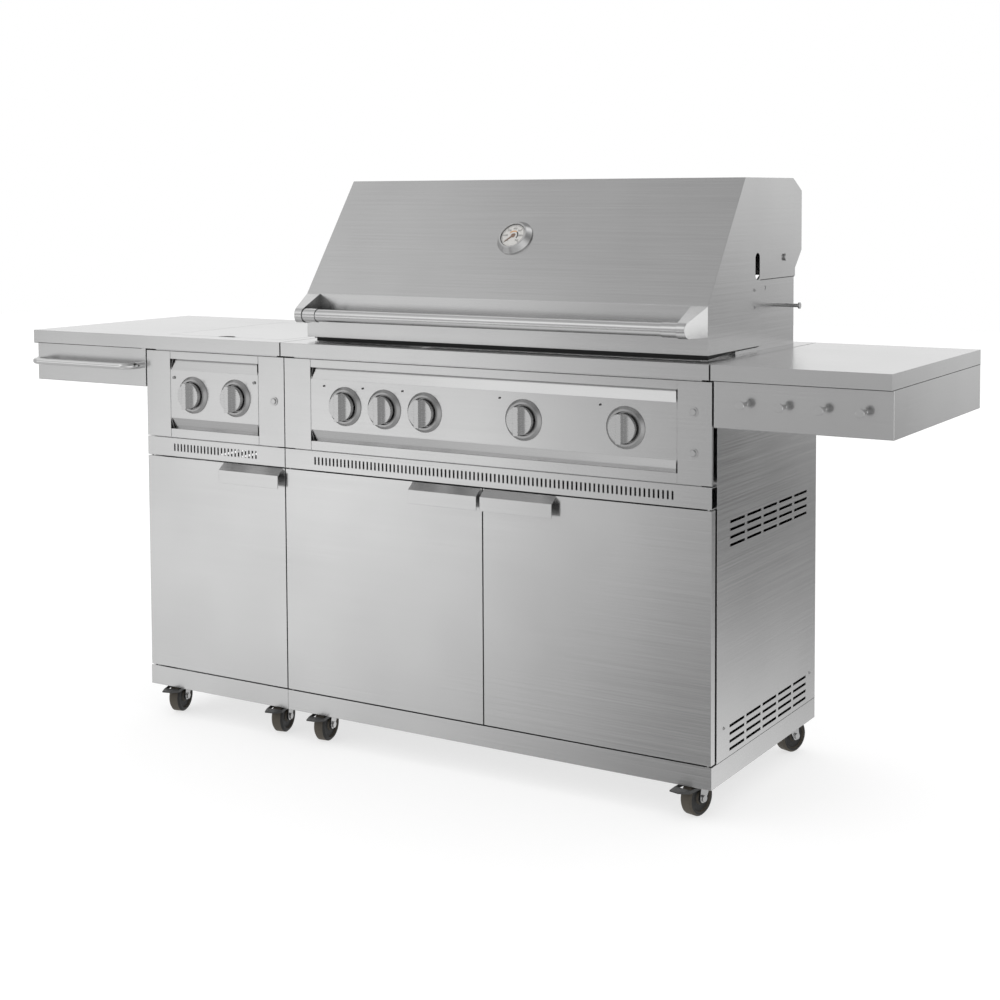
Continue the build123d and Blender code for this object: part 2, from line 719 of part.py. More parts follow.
# Warming rack, its back rod held in the cheeks and its legs on the firebox rim
rack_z = top_z + rack_h
rack_half = cheek_x - cheek_t / 2
with BuildPart() as warming_rack:
    with Locations(Location((main_mid, front_y + rack_back, rack_z), ALONG_X)):
        Cylinder(rack_rod_r, 2 * rack_half)
    with Locations(Location((main_mid, front_y + rack_front, rack_z), ALONG_X)):
        Cylinder(rack_rod_r, tub_w)
    wire_pitch = (tub_w - 8 * rack_rod_r) / (rack_wires - 1)
    for i in range(rack_wires):
        x = main_mid + (i - (rack_wires - 1) / 2) * wire_pitch
        with Locations((x, front_y + rack_front, rack_z)):
            Box(2 * rack_wire_r, rack_back - rack_front, 2 * rack_wire_r,
                align=(Align.CENTER, Align.MIN, Align.CENTER))
    for side in (-1, 1):
        leg_x = main_mid + side * (tub_w / 2 + sheet)
        with Locations((leg_x, front_y + rack_front, top_z + sheet)):
            Box(2 * rack_rod_r, 2 * rack_rod_r, rack_h, align=BOTTOM)
save(warming_rack, "warming_rack")

# Gas manifolds with a valve and stem behind each knob
manifold_y = front_y + manifold_back
with BuildPart() as gas_manifolds:
    for knobs in (main_knobs, left_knobs):
        run = knobs[-1] - knobs[0] + 2 * valve_w
        with Locations(Location(((knobs[0] + knobs[-1]) / 2, manifold_y, knob_z), ALONG_X)):
            Cylinder(manifold_r, run)
        for x in knobs:
            with Locations((x, manifold_y, knob_z)):
                Box(valve_w, valve_w, valve_w)
            collar_l = manifold_back - sheet
            with Locations(Location((x, manifold_y - collar_l / 2, knob_z), ALONG_Y)):
                Cylinder(valve_collar_r, collar_l)
            stem_l = manifold_back + stem_out
            with Locations(Location((x, manifold_y - stem_l / 2, knob_z), ALONG_Y)):
                Cylinder(stem_r, stem_l)
    for x in left_knobs:
        feed_l = head_y - manifold_y
        with Locations(Location((x, manifold_y + feed_l / 2, knob_z), ALONG_Y)):
            Cylinder(stem_r, feed_l + 2 * stem_r)
        with Locations((x, head_y, knob_z)):
            Cylinder(stem_r, well_z + sheet - knob_z, align=BOTTOM)
save(gas_manifolds, "gas_manifolds")

# Side burner heads and their grate
with BuildPart() as side_burner_heads:
    for x in left_knobs:
        with BuildSketch(Plane.XZ.offset(-head_y)):
            with Locations((x, well_z + sheet)):
                Polygon(
                    (0, 0),
                    (head_r * 0.7, 0),
                    (head_r, head_h * 0.5),
                    (head_r, head_h * 0.75),
                    (head_r * 0.75, head_h),
                    (0, head_h),
                    align=None,
                )
        revolve(axis=Axis((x, head_y, 0), (0, 0, 1)))
save(side_burner_heads, "side_burner_heads")

pot_w = well_w - 2 * well_ledge - 2 * grate_gap
pot_d = well_d - 2 * well_ledge - 2 * grate_gap
pot_z = top_z - pot_grate_drop - pot_grate_h
with BuildPart() as side_burner_grate:
    with Locations((left_mid, well_mid_y, pot_z)):
        Box(pot_w, pot_d, pot_grate_h, align=BOTTOM)
        Box(pot_w - 2 * pot_bar_w, pot_d - 2 * pot_bar_w, pot_grate_h,
            align=BOTTOM, mode=Mode.SUBTRACT)
        with GridLocations(left_knobs[1] - left_knobs[0], 1, 2, 1):
            Box(pot_bar_w, pot_d, pot_grate_h, align=BOTTOM)
        Box(pot_bar_w, pot_d, pot_grate_h, align=BOTTOM)
        with GridLocations(1, pot_d / 3, 1, 2):
            Box(pot_w, pot_bar_w, pot_grate_h, align=BOTTOM)
    with Locations((left_mid, well_mid_y, well_z + sheet)):
        with GridLocations(pot_w - pot_leg, pot_d - pot_leg, 2, 2):
            Box(pot_leg, pot_leg, pot_z - well_z, align=BOTTOM)
save(side_burner_grate, "side_burner_grate")

# Dished bezels behind the knobs
with BuildPart() as knob_bezels:
    for x in main_knobs + left_knobs:
        with BuildSketch(Plane.XY.offset(knob_z)):
            with Locations((x, front_y)):
                Polygon(
                    (stem_hole_r, 0),
                    (bezel_r, 0),
                    (bezel_r, -bezel_t),
                    (bezel_rim_r, -bezel_h),
                    (bezel_dish_r, -bezel_h),
                    (bezel_dish_r - bezel_t, -bezel_t),
                    (stem_hole_r, -bezel_t),
                    align=None,
                )
        revolve(axis=Axis((x, front_y, knob_z), (0, 1, 0)))
save(knob_bezels, "knob_bezels")

# Grease tray, drawn out at the back
with BuildPart() as grease_tray:
    with Locations((main_mid, back_y, tray_z)):
        Box(tray_w, tray_d, tray_h, align=(Align.CENTER, Align.MAX, Align.MIN))
    with Locations((main_mid, back_y - sheet, tray_z + sheet)):
        Box(tray_w - 2 * sheet, tray_d - 2 * sheet, tray_h,
            align=(Align.CENTER, Align.MAX, Align.MIN), mode=Mode.SUBTRACT)
    with Locations((main_mid, back_y + fit_gap, tray_z - 2 * tray_slot_gap)):
        Box(tray_w + 2 * (rail_w + 2 * tray_slot_gap), sheet, tray_h + tray_drop + 2 * tray_slot_gap,
            align=FRONT)
    with Locations((main_mid, back_y, tray_z)):
        Box(tray_w, 2 * fit_gap, tray_h, align=FRONT)
    with Locations((main_mid, back_y + fit_gap, tray_z)):
        Box(pull_w, tray_lip - fit_gap, sheet, align=FRONT)
save(grease_tray, "grease_tray")

# Lid: one bent shell, open underneath and stepped at the back where the cheeks stand
lid_half = lid_w / 2
lid_profile = [
    (front_y + lid_front, lid_z),
    (front_y + lid_front, lid_z + lid_band_h),
    (front_y + lid_top_front, lid_z + lid_h),
    (front_y + lid_top_back, lid_z + lid_h),
    (front_y + lid_back, lid_z + lid_h - lid_chamfer_h),
    (front_y + lid_back, lid_z + lid_back_low),
    (front_y + lid_rear, lid_z + lid_rear_low),
    (front_y + lid_rear, lid_z),
]
slope_y = lid_top_front - lid_front
slope_z = lid_h - lid_band_h
slope_l = hypot(slope_y, slope_z)
gauge_y = front_y + lid_front + gauge_up * slope_y / slope_l
gauge_z = lid_z + lid_band_h + gauge_up * slope_z / slope_l
gauge_plane = Plane(origin=(main_mid, gauge_y, gauge_z), x_dir=(1, 0, 0), z_dir=(0, -slope_z, slope_y))

with BuildPart() as lid_shell:
    with BuildSketch(Plane.YZ.offset(main_mid - lid_half)):
        Polygon(*lid_profile, align=None)
    extrude(amount=lid_w)
    with BuildSketch(Plane.YZ.offset(main_mid - lid_half + lid_t)):
        Polygon(*lid_profile, align=None)
        offset(amount=-lid_t, kind=Kind.INTERSECTION)
    extrude(amount=lid_w - 2 * lid_t, mode=Mode.SUBTRACT)
    with Locations((main_mid, front_y + lid_front + lid_t, lid_z)):
        Box(lid_w - 2 * lid_t, lid_back, 3 * lid_t,
            align=(Align.CENTER, Align.MIN, Align.CENTER), mode=Mode.SUBTRACT)
    with Locations((main_mid, front_y + lid_step, lid_z)):
        Box(lid_w + lid_t, lid_back, lid_step_h, align=FRONT, mode=Mode.SUBTRACT)
    with BuildSketch(Plane.YZ.offset(main_mid - lid_w)):
        with Locations((front_y + lid_step - lid_t - spit_slot_w / 2, lid_z + lid_step_h + spit_slot_h / 2)):
            SlotOverall(spit_slot_h, spit_slot_w, rotation=90)
    extrude(amount=2 * lid_w, mode=Mode.SUBTRACT)
    with Locations(Location((main_mid, pivot_y, pivot_z), ALONG_X)):
        Cylinder(pivot_r + run_gap, lid_w + lid_t, mode=Mode.SUBTRACT)
    for side in (-1, 1):
        notch_x = main_mid + side * (lid_half - lid_t - cheek_notch_w / 2)
        with Locations((notch_x, front_y + lid_rear - 3 * lid_t, lid_z)):
            Box(cheek_notch_w, lid_back, cheek_notch_top, align=FRONT, mode=Mode.SUBTRACT)
    with BuildSketch(gauge_plane):
        Circle(probe_r + fit_gap)
    extrude(amount=2 * lid_t, both=True, mode=Mode.SUBTRACT)
save(lid_shell, "lid_shell")

# Lid handle: a bar with ferrules between two tapered brackets
band_y = front_y + lid_front
handle_y = band_y - handle_reach
handle_z = lid_z + lid_band_h - handle_drop
with BuildPart() as lid_handle:
    for side in (-1, 1):
        outer_x = main_mid + side * lid_half
        with BuildSketch(Plane.YZ.offset(outer_x)):
            with BuildLine() as outline:
                Line((band_y, lid_z + lid_band_h - bracket_h), (band_y, lid_z + lid_band_h))
                CenterArc((handle_y, handle_z), bracket_nose_r, 0, 360)
            make_hull(outline.edges())
        extrude(amount=-side * bracket_w)
        with BuildSketch(Plane.XY.offset(lid_z)):
            Polygon(
                (outer_x, band_y),
                (outer_x + side * bracket_taper, band_y),
                (outer_x + side * bracket_taper, handle_y - 2 * bracket_nose_r),
                (outer_x - side * bracket_taper, handle_y - bracket_nose_r),
                align=None,
            )
        extrude(amount=2 * lid_band_h, mode=Mode.SUBTRACT)
    bar_l = lid_w - 2 * (bracket_w + seat_gap)
    with Locations(Location((main_mid, handle_y, handle_z), ALONG_X)):
        Cylinder(handle_r, bar_l)
    for side in (-1, 1):
        ferrule_x = main_mid + side * (bar_l / 2 - ferrule_l / 2)
        with Locations(Location((ferrule_x, handle_y, handle_z), ALONG_X)):
            Cylinder(ferrule_r, ferrule_l)
save(lid_handle, "lid_handle")

# Thermometer on the slope of the lid
with BuildPart() as thermometer:
    with BuildSketch(Plane(origin=gauge_plane.origin, x_dir=(1, 0, 0), z_dir=(0, -slope_y, -slope_z))):
        with BuildLine():
            Polyline(
                (0, -probe_l),
                (probe_r, -probe_l),
                (probe_r, 0),
                (gauge_base_r, 0),
                (gauge_base_r, gauge_recess),
                (gauge_top_r, gauge_h),
                (gauge_dial_r, gauge_h),
                (gauge_dial_r, gauge_h - gauge_recess),
                (0, gauge_h - gauge_recess),
                close=True,
            )
        make_face()
    revolve(axis=Axis(gauge_plane.origin, gauge_plane.z_dir))
save(thermometer, "thermometer")

needle_plane = gauge_plane.offset(gauge_h - gauge_recess + fit_gap)
with BuildPart() as thermometer_needle:
    with BuildSketch(needle_plane):
        Circle(2 * needle_w)
        with Locations(Location((0, 0, 0), (0, 0, 135))):
            Polygon((-needle_w, -needle_l / 4), (needle_w, -needle_l / 4), (needle_w / 4, needle_l),
                    (-needle_w / 4, needle_l), align=None)
    extrude(amount=needle_t)
save(thermometer_needle, "thermometer_needle")

# Flat cover over the side burner, hinged on two pins at its back
cover_w = well_w - 2 * cover_gap
cover_d = well_d - 2 * cover_gap
with BuildPart() as burner_cover:
    with Locations((left_mid, well_mid_y, ledge_z + fit_gap)):
        Box(cover_w, cover_d, top_z - ledge_z - fit_gap, align=BOTTOM)
        Box(cover_w - 2 * cover_t, cover_d - 2 * cover_t, top_z - ledge_z - fit_gap - cover_t,
            align=BOTTOM, mode=Mode.SUBTRACT)
    with BuildSketch(Plane.XY.offset(top_z + cover_t)):
        with Locations((left_mid, well_mid_y - cover_d / 2)):
            Ellipse(thumb_w / 2, thumb_d)
    extrude(amount=-2 * well_step, mode=Mode.SUBTRACT)
    with Locations((left_mid, cover_axis_y - run_gap, cover_axis_z - cover_pin_drop)):
        Box(2 * well_w, 2 * cover_pin_in, well_step,
            align=(Align.CENTER, Align.MIN, Align.MAX), mode=Mode.SUBTRACT)
    for side in (-1, 1):
        pin_mid = side * (cover_w / 2 + cover_pin_l / 2 - cover_t / 2)
        with Locations(Location((left_mid + pin_mid, cover_axis_y, cover_axis_z), ALONG_X)):
            Cylinder(cover_pin_r, cover_pin_l + cover_t)
save(burner_cover, "burner_cover")


def make_door(name, x0, x1):
    """A hollow door with its liner, hinge pins and a bent pull at the free top corner."""
    width = x1 - x0
    z0 = door_z + door_end_gap
    height = door_zone_h - 2 * door_end_gap
    x_pin, away = door_pins[name]
    edge = left_pull_edge if name == "left_door" else pull_edge
    free_x = x1 - edge - pull_w / 2 if away > 0 else x0 + edge + pull_w / 2
    with BuildPart() as door:
        with Locations(((x0 + x1) / 2, front_y, z0)):
            Box(width, door_t, height, align=FRONT)
        with Locations(((x0 + x1) / 2, front_y + door_skin, z0 + door_skin)):
            Box(width - 2 * door_skin, door_t, height - 2 * door_skin, align=FRONT, mode=Mode.SUBTRACT)
        liner_y = front_y + door_t - door_liner - liner_inset
        with Locations(((x0 + x1) / 2, liner_y, z0 + door_skin + fit_gap)):
            Box(width - 2 * (door_skin + fit_gap), door_liner, height - 2 * (door_skin + fit_gap),
                align=FRONT)
        for z in (z0 - door_pin_l / 2, z0 + height + door_pin_l / 2):
            with Locations((x_pin, pin_y, z)):
                Cylinder(door_pin_r, door_pin_l)
        with BuildSketch(Plane.YZ.offset(free_x - pull_w / 2)):
            with Locations((front_y, z0 + height)):
                Polygon(
                    (0, 0),
                    (-pull_reach, -pull_drop),
                    (-pull_reach, -pull_drop - pull_h),
                    (-pull_reach + pull_t, -pull_drop - pull_h),
                    (-pull_reach + pull_t, -pull_drop - pull_t / 2),
                    (0, -1.3 * pull_t),
                    align=None,
                )
        extrude(amount=pull_w)
    save(door, name)


make_door("left_door", left_x0 + door_gap / 2, seam_x - door_gap / 2)
make_door("main_left_door", seam_x + door_gap / 2, main_mid - door_gap / 2)
make_door("main_right_door", main_mid + door_gap / 2, main_x1 - door_gap / 2)


def make_knob(name, x):
    """A round knob with an upright grip bar, bored for its valve stem."""
    with BuildPart() as knob:
        with BuildSketch(Plane.XZ.offset(-front_y + knob_back)):
            with Locations((x, knob_z)):
                Circle(knob_r)
        extrude(amount=knob_face - knob_back)
        with BuildSketch(Plane.XZ.offset(-front_y + knob_face)):
            with Locations((x, knob_z)):
                Circle(knob_r)
                Rectangle(knob_bar_w, 2 * knob_r, mode=Mode.INTERSECT)
        extrude(amount=knob_bar_h)
        with BuildSketch(Plane.XZ.offset(-front_y)):
            with Locations((x, knob_z)):
                Circle(stem_r + run_gap)
        extrude(amount=stem_out + fit_gap, mode=Mode.SUBTRACT)
    save(knob, name)


for number, x in enumerate(main_knobs, 1):
    make_knob(f"grill_knob_{number}", x)
for number, x in enumerate(left_knobs, 1):
    make_knob(f"side_burner_knob_{number}", x)

# Push buttons in the posts, each with a collar behind the panel
collar_r = button_r + 2.5
collar_t = 3.0
for name, (x, z) in buttons.items():
    with BuildPart() as button:
        with BuildSketch(Plane.XZ.offset(-front_y + button_out)):
            with Locations((x, z)):
                Circle(button_r)
        extrude(amount=-button_l)
        with BuildSketch(Plane.XZ.offset(-front_y - sheet - fit_gap)):
            with Locations((x, z)):
                Circle(collar_r)
        extrude(amount=-collar_t)
        fillet(button.faces().sort_by(Axis.Y)[0].edges(), button_out / 4)
    save(button, name)

# Casters: fork with its axle bolt, wheel and, at the front, a brake pedal
leg_in = wheel_w / 2 + leg_gap
leg_out = leg_in + leg_t
crown_z = plate_z - fit_gap - crown_h
arch_z = wheel_r * 2 + 5.0
arm_in = leg_out + fit_gap
arm_out = arm_in + pedal_arm_t

for name, (x, y) in casters.items():
    turn = radians(caster_turn[name])
    trail = Vector(sin(turn), -cos(turn), 0)
    across = Vector(cos(turn), sin(turn), 0)
    side_plane = Plane(origin=(x, y, 0), x_dir=trail, z_dir=-across)
    braked = "front" in name
    with BuildPart() as fork:
        with BuildSketch(side_plane):
            with BuildLine() as outline:
                Line((-crown_r, crown_z), (crown_r, crown_z))
                CenterArc((wheel_trail, wheel_r), axle_head_r + leg_t, 0, 360)
            make_hull(outline.edges())
        extrude(amount=leg_out, both=True)
        with BuildSketch(side_plane):
            with Locations((wheel_trail, 0)):
                Rectangle(6 * wheel_r, arch_z, align=(Align.CENTER, Align.MIN))
        extrude(amount=leg_in, both=True, mode=Mode.SUBTRACT)
        with BuildSketch(side_plane):
            with Locations((wheel_trail, wheel_r)):
                Circle(axle_r + run_gap)
            if braked:
                with Locations((pedal_u, pedal_z)):
                    Circle(pedal_pin_r + run_gap)
        extrude(amount=2 * leg_out, both=True, mode=Mode.SUBTRACT)
        with Locations((x, y, crown_z)):
            Cylinder(crown_r, crown_h, align=BOTTOM)
            Cylinder(kingpin_r, crown_h + fit_gap + plate_t, align=BOTTOM)
        with BuildSketch(side_plane):
            with Locations((wheel_trail, wheel_r)):
                Circle(axle_r)
        extrude(amount=leg_out + seat_gap, both=True)
        for flip in (-1, 1):
            with BuildSketch(side_plane.offset(flip * (leg_out + seat_gap))):
                with Locations((wheel_trail, wheel_r)):
                    Circle(axle_head_r)
            extrude(amount=flip * axle_head_t)
    save(fork, f"caster_fork_{name}")

    axle_origin = side_plane.from_local_coords((wheel_trail, wheel_r, 0))
    with BuildPart() as wheel:
        with BuildSketch(Plane(origin=axle_origin, x_dir=across, z_dir=trail)):
            with BuildLine():
                Polyline(
                    (-wheel_w / 2, axle_r + run_gap),
                    (-wheel_w / 2, hub_r),
                    (-wheel_w / 2 + disc_recess, hub_r + disc_recess / 2),
                    (-wheel_w / 2 + disc_recess, wheel_r * 0.72),
                    (-wheel_w / 2, wheel_r * 0.78),
                    (-wheel_w / 2, wheel_r - tyre_edge),
                    (-wheel_w / 2 + tyre_edge, wheel_r),
                    (wheel_w / 2 - tyre_edge, wheel_r),
                    (wheel_w / 2, wheel_r - tyre_edge),
                    (wheel_w / 2, wheel_r * 0.78),
                    (wheel_w / 2 - disc_recess, wheel_r * 0.72),
                    (wheel_w / 2 - disc_recess, hub_r + disc_recess / 2),
                    (wheel_w / 2, hub_r),
                    (wheel_w / 2, axle_r + run_gap),
                    close=True,
                )
            make_face()
        revolve(axis=Axis(axle_origin, across))
    save(wheel, f"caster_wheel_{name}")

    if braked:
        with BuildPart() as pedal:
            with BuildSketch(side_plane):
                with BuildLine() as arm:
                    CenterArc((pedal_u, pedal_z), pedal_arm_r, 0, 360)
                    Line((pedal_cross_u, pedal_z - 2 * pedal_tab_t), (pedal_cross_u, pedal_z))
                make_hull(arm.edges())
                Polygon(
                    (pedal_cross_u - pedal_tab_t, pedal_z - 2 * pedal_tab_t),
                    (pedal_cross_u + pedal_tab_t, pedal_z - 2 * pedal_tab_t),
                    (pedal_tip_u, pedal_tip_z - pedal_tab_t),
                    (pedal_tip_u, pedal_tip_z),
                    (pedal_cross_u, pedal_z),
                    (pedal_cross_u - pedal_tab_t, pedal_z),
                    align=None,
                )
            extrude(amount=arm_out, both=True)
            with BuildSketch(side_plane):
                with Locations((0, 0)):
                    Rectangle(pedal_cross_u - pedal_tab_t, 2 * door_z, align=(Align.MIN, Align.MIN))
            extrude(amount=arm_in, both=True, mode=Mode.SUBTRACT)
            with BuildSketch(Plane(origin=(x, y, 0), x_dir=trail, z_dir=(0, 0, 1))):
                for flip in (-1, 1):
                    Polygon(
                        (pedal_cross_u, flip * arm_out),
                        (pedal_tip_u, flip * pedal_tip_w / 2),
                        (2 * pedal_tip_u, flip * pedal_tip_w / 2),
                        (2 * pedal_tip_u, flip * 2 * arm_out),
                        (pedal_cross_u, flip * 2 * arm_out),
                        align=None,
                    )
            extrude(amount=door_z, mode=Mode.SUBTRACT)
            for flip in (-1, 1):
                with BuildSketch(side_plane.offset(flip * leg_in)):
                    with Locations((pedal_u, pedal_z)):
                        Circle(pedal_pin_r)
                extrude(amount=flip * (arm_out - leg_in))
        save(pedal, f"brake_pedal_{name}")
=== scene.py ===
"""Looks of a stainless steel grill cart: finishes, screws, dark strips of painted shade in gaps, dial print, studio
and camera.
"""
import json
import math

import bmesh
import bpy
from mathutils import Matrix, Vector


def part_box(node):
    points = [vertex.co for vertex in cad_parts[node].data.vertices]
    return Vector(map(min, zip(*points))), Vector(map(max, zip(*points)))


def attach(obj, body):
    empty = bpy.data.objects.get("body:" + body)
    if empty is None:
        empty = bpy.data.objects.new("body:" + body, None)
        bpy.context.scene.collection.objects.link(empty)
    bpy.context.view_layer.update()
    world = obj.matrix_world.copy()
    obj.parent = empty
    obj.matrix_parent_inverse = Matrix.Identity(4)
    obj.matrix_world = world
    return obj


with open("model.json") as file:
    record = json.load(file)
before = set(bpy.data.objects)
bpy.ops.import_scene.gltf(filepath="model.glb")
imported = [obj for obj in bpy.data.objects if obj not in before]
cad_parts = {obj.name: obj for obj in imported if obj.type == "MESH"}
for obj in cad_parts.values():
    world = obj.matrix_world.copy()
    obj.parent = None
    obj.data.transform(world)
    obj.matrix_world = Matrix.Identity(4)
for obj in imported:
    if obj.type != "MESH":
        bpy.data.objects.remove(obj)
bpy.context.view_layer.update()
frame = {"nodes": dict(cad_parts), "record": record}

# Reference lines of the cart, in metres, read from the frame
panel_low, panel_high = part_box("main_control_panel")
left_panel_low, left_panel_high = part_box("left_control_panel")
left_low, left_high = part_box("left_cabinet_panels")
main_low, main_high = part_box("main_cabinet_panels")
lid_low, lid_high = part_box("lid_shell")
front_y = panel_low[1]
seam_x = (panel_low[0] + left_panel_high[0]) / 2

# Camera fitted to the cabinet edges
CAMERA_FROM_SEAM = 2.451
CAMERA_FROM_DOORS = -3.048
CAMERA_HEIGHT = 1.254
CAMERA_YAW = 31.5285
CAMERA_PITCH = 3.5072
CAMERA_ROLL = -0.2840
CAMERA_LENS = 61.425
CAMERA_SENSOR = 36
CAMERA_SHIFT = -0.2


def make_camera():
    """Camera at the photograph's viewing angle."""
    yaw = math.radians(CAMERA_YAW)
    pitch = math.radians(CAMERA_PITCH)
    roll = math.radians(CAMERA_ROLL)
    ahead = Vector((-math.sin(yaw) * math.cos(pitch), math.cos(yaw) * math.cos(pitch), -math.sin(pitch)))
    right = Vector((math.cos(yaw), math.sin(yaw), 0))
    up = right.cross(ahead)
    right_rolled = right * math.cos(roll) + up * math.sin(roll)
    up_rolled = up * math.cos(roll) - right * math.sin(roll)
    data = bpy.data.cameras.new("camera")
    data.lens = CAMERA_LENS
    data.sensor_width = CAMERA_SENSOR
    data.shift_y = CAMERA_SHIFT
    camera = bpy.data.objects.new("camera", data)
    bpy.context.scene.collection.objects.link(camera)
    turn = Matrix((right_rolled, up_rolled, -ahead)).transposed().to_4x4()
    place = (seam_x + CAMERA_FROM_SEAM, front_y + CAMERA_FROM_DOORS, CAMERA_HEIGHT)
    camera.matrix_world = Matrix.Translation(place) @ turn
    bpy.context.scene.camera = camera


class Tree:
    """Short hand for adding and wiring nodes."""

    def __init__(self, tree):
        self.tree = tree

    def add(self, kind, **values):
        """A node of a kind, with its properties set."""
        node = self.tree.nodes.new(kind)
        for key, value in values.items():
            setattr(node, key, value)
        return node

    def link(self, source, target):
        self.tree.links.new(source, target)

    def feed(self, socket, value):
        """Link a socket into another, or set a plain value."""
        if isinstance(value, bpy.types.NodeSocket):
            self.link(value, socket)
        else:
            socket.default_value = value

    def math(self, operation, first, second=0.0):
        """A Math node of two values or sockets, and its output."""
        node = self.add("ShaderNodeMath", operation=operation)
        for socket, value in zip(node.inputs, (first, second)):
            self.feed(socket, value)
        return node.outputs[0]

    def vector(self, operation, first, second, output=0):
        """A Vector Math node of two vectors or sockets, and an output."""
        node = self.add("ShaderNodeVectorMath", operation=operation)
        for socket, value in zip(node.inputs, (first, second)):
            self.feed(socket, value)
        return node.outputs[output]

    def split(self, vector):
        """The X, Y and Z outputs of a vector socket."""
        node = self.add("ShaderNodeSeparateXYZ")
        self.link(vector, node.inputs[0])
        return node.outputs

    def ramp(self, value, low, high, to_low=0.0, to_high=1.0):
        """A smooth Map Range of a socket, and its output."""
        node = self.add("ShaderNodeMapRange", interpolation_type="SMOOTHSTEP")
        self.feed(node.inputs[0], value)
        for socket, number in zip(node.inputs[1:5], (low, high, to_low, to_high)):
            socket.default_value = number
        return node.outputs[0]

    def mix(self, factor, first, second):
        """A colour Mix node, and its output."""
        node = self.add("ShaderNodeMix", data_type="RGBA")
        self.feed(node.inputs["Factor"], factor)
        self.feed(node.inputs[6], first)
        self.feed(node.inputs[7], second)
        return node.outputs[2]


# Studio: soft glows and shades round the cart on a plain level
PLAIN_LEVEL = 0.5
DARKEST = 0.04
GLOWS = (
    # heading to the left of straight ahead of the doors, rise, spread in degrees, strength
    (38, -11, 5, 0.62),
    (32, -7, 5, 0.55),
    (24.5, -20, 7, -0.42),
    (30, -13, 4, 0.22),
    (27, -2, 4.5, -0.36),
    (20.5, -5, 4, 0.35),
    (46, -9, 5, 0.42),
    (41.5, -4, 2, -0.1),
    (34, 31, 9, 0.85),
    (47, 29, 6, 0.18),
    (34, -46, 11, 0.36),
    (300, -4, 22, 0.4),
    (200, 82, 14, -0.14),
    (214, 42, 12, 0.9),
    (295, 42, 18, -0.42),
    (64, 46, 12, 0.30),
    (52, 62, 10, -0.15),
    (53, 53, 5, -0.085),
    (205, -9, 6, -0.46),
    (204, -22, 5, 0.85),
    (202, 3, 5, 0.55),
    (196, -5, 4, 0.30),
    (239, -2, 6, 1.4),
)
WHITE_WALL = (146.5, 12, 30, 54)  # heading, rise, core and edge of the white backdrop behind the cart
FLOOR_HALF = 12.0
FLOOR_SHADE = 0.42
FLOOR_GLOW = 0.66
LAMP_ENERGY = 1.5
LAMP_SPREAD = 120
LAMP_TILT = (12, -10)


def heading_vector(heading, rise):
    """Unit vector for a heading to the left of the doors' outward direction and a rise above level."""
    heading, rise = math.radians(heading), math.radians(rise)
    return Vector((-math.sin(heading) * math.cos(rise), -math.cos(heading) * math.cos(rise), math.sin(rise)))


def make_world():
    """A plain level with soft glows, and a white wall behind the cart."""
    world = bpy.data.worlds.new("studio")
    bpy.context.scene.world = world
    world.use_nodes = True
    tree = Tree(world.node_tree)
    world.node_tree.nodes.clear()
    direction = tree.add("ShaderNodeTexCoord").outputs["Generated"]
    level = PLAIN_LEVEL
    for heading, rise, spread, strength in GLOWS:
        facing = tree.vector("DOT_PRODUCT", direction, heading_vector(heading, rise), output=1)
        fall = tree.math("DIVIDE", tree.math("SUBTRACT", facing, 1.0), math.radians(spread) ** 2)
        glow = tree.math("MULTIPLY", tree.math("EXPONENT", fall), strength)
        level = tree.math("ADD", glow, level)
    level = tree.math("MAXIMUM", level, DARKEST)
    heading, rise, core, edge = WHITE_WALL
    facing = tree.vector("DOT_PRODUCT", direction, heading_vector(heading, rise), output=1)
    wall = tree.ramp(facing, math.cos(math.radians(edge)), math.cos(math.radians(core)))
    background = tree.add("ShaderNodeBackground")
    tree.link(tree.mix(wall, level, (1, 1, 1, 1)), background.inputs["Color"])
    output = tree.add("ShaderNodeOutputWorld")
    tree.link(background.outputs[0], output.inputs["Surface"])


def make_floor():
    """Plain white floor that glows a little, so that the cart's shadow on it stays light."""
    mesh = bpy.data.meshes.new("floor")
    corners = [(x * FLOOR_HALF, y * FLOOR_HALF, 0) for x, y in ((-1, -1), (1, -1), (1, 1), (-1, 1))]
    mesh.from_pydata(corners, [], [(0, 1, 2, 3)])
    floor = bpy.data.objects.new("floor", mesh)
    bpy.context.scene.collection.objects.link(floor)
    material, _, shader = new_material("floor_white")
    shader.inputs["Base Color"].default_value = (FLOOR_SHADE, FLOOR_SHADE, FLOOR_SHADE, 1)
    shader.inputs["Roughness"].default_value = 0.9
    shader.inputs["Specular IOR Level"].default_value = 0.0
    shader.inputs["Emission Color"].default_value = (1, 1, 1, 1)
    shader.inputs["Emission Strength"].default_value = FLOOR_GLOW
    mesh.materials.append(material)
    floor.visible_glossy = False


def make_lamp():
    """A very soft light from above for what isn't metal."""
    data = bpy.data.lights.new("overhead", "SUN")
    data.energy = LAMP_ENERGY
    data.angle = math.radians(LAMP_SPREAD)
    lamp = bpy.data.objects.new("overhead", data)
    bpy.context.scene.collection.objects.link(lamp)
    lamp.rotation_euler = (math.radians(LAMP_TILT[0]), math.radians(LAMP_TILT[1]), 0)
    lamp.visible_glossy = False


BRUSH_ALONG = 2.5  # noise scale along the brush lines
BRUSH_ACROSS = 1100
CLOUD_SCALE = 3.2
RELIEF_DEPTH = 0.0004


def new_group(name, inputs, outputs):
    """An empty effect with float inputs and its outputs, and the wiring helper."""
    group = bpy.data.node_groups.new(name, "ShaderNodeTree")
    for socket in inputs:
        group.interface.new_socket(socket, in_out="INPUT", socket_type="NodeSocketFloat")
    for socket, kind in outputs.items():
        group.interface.new_socket(socket, in_out="OUTPUT", socket_type=kind)
    return group, Tree(group)


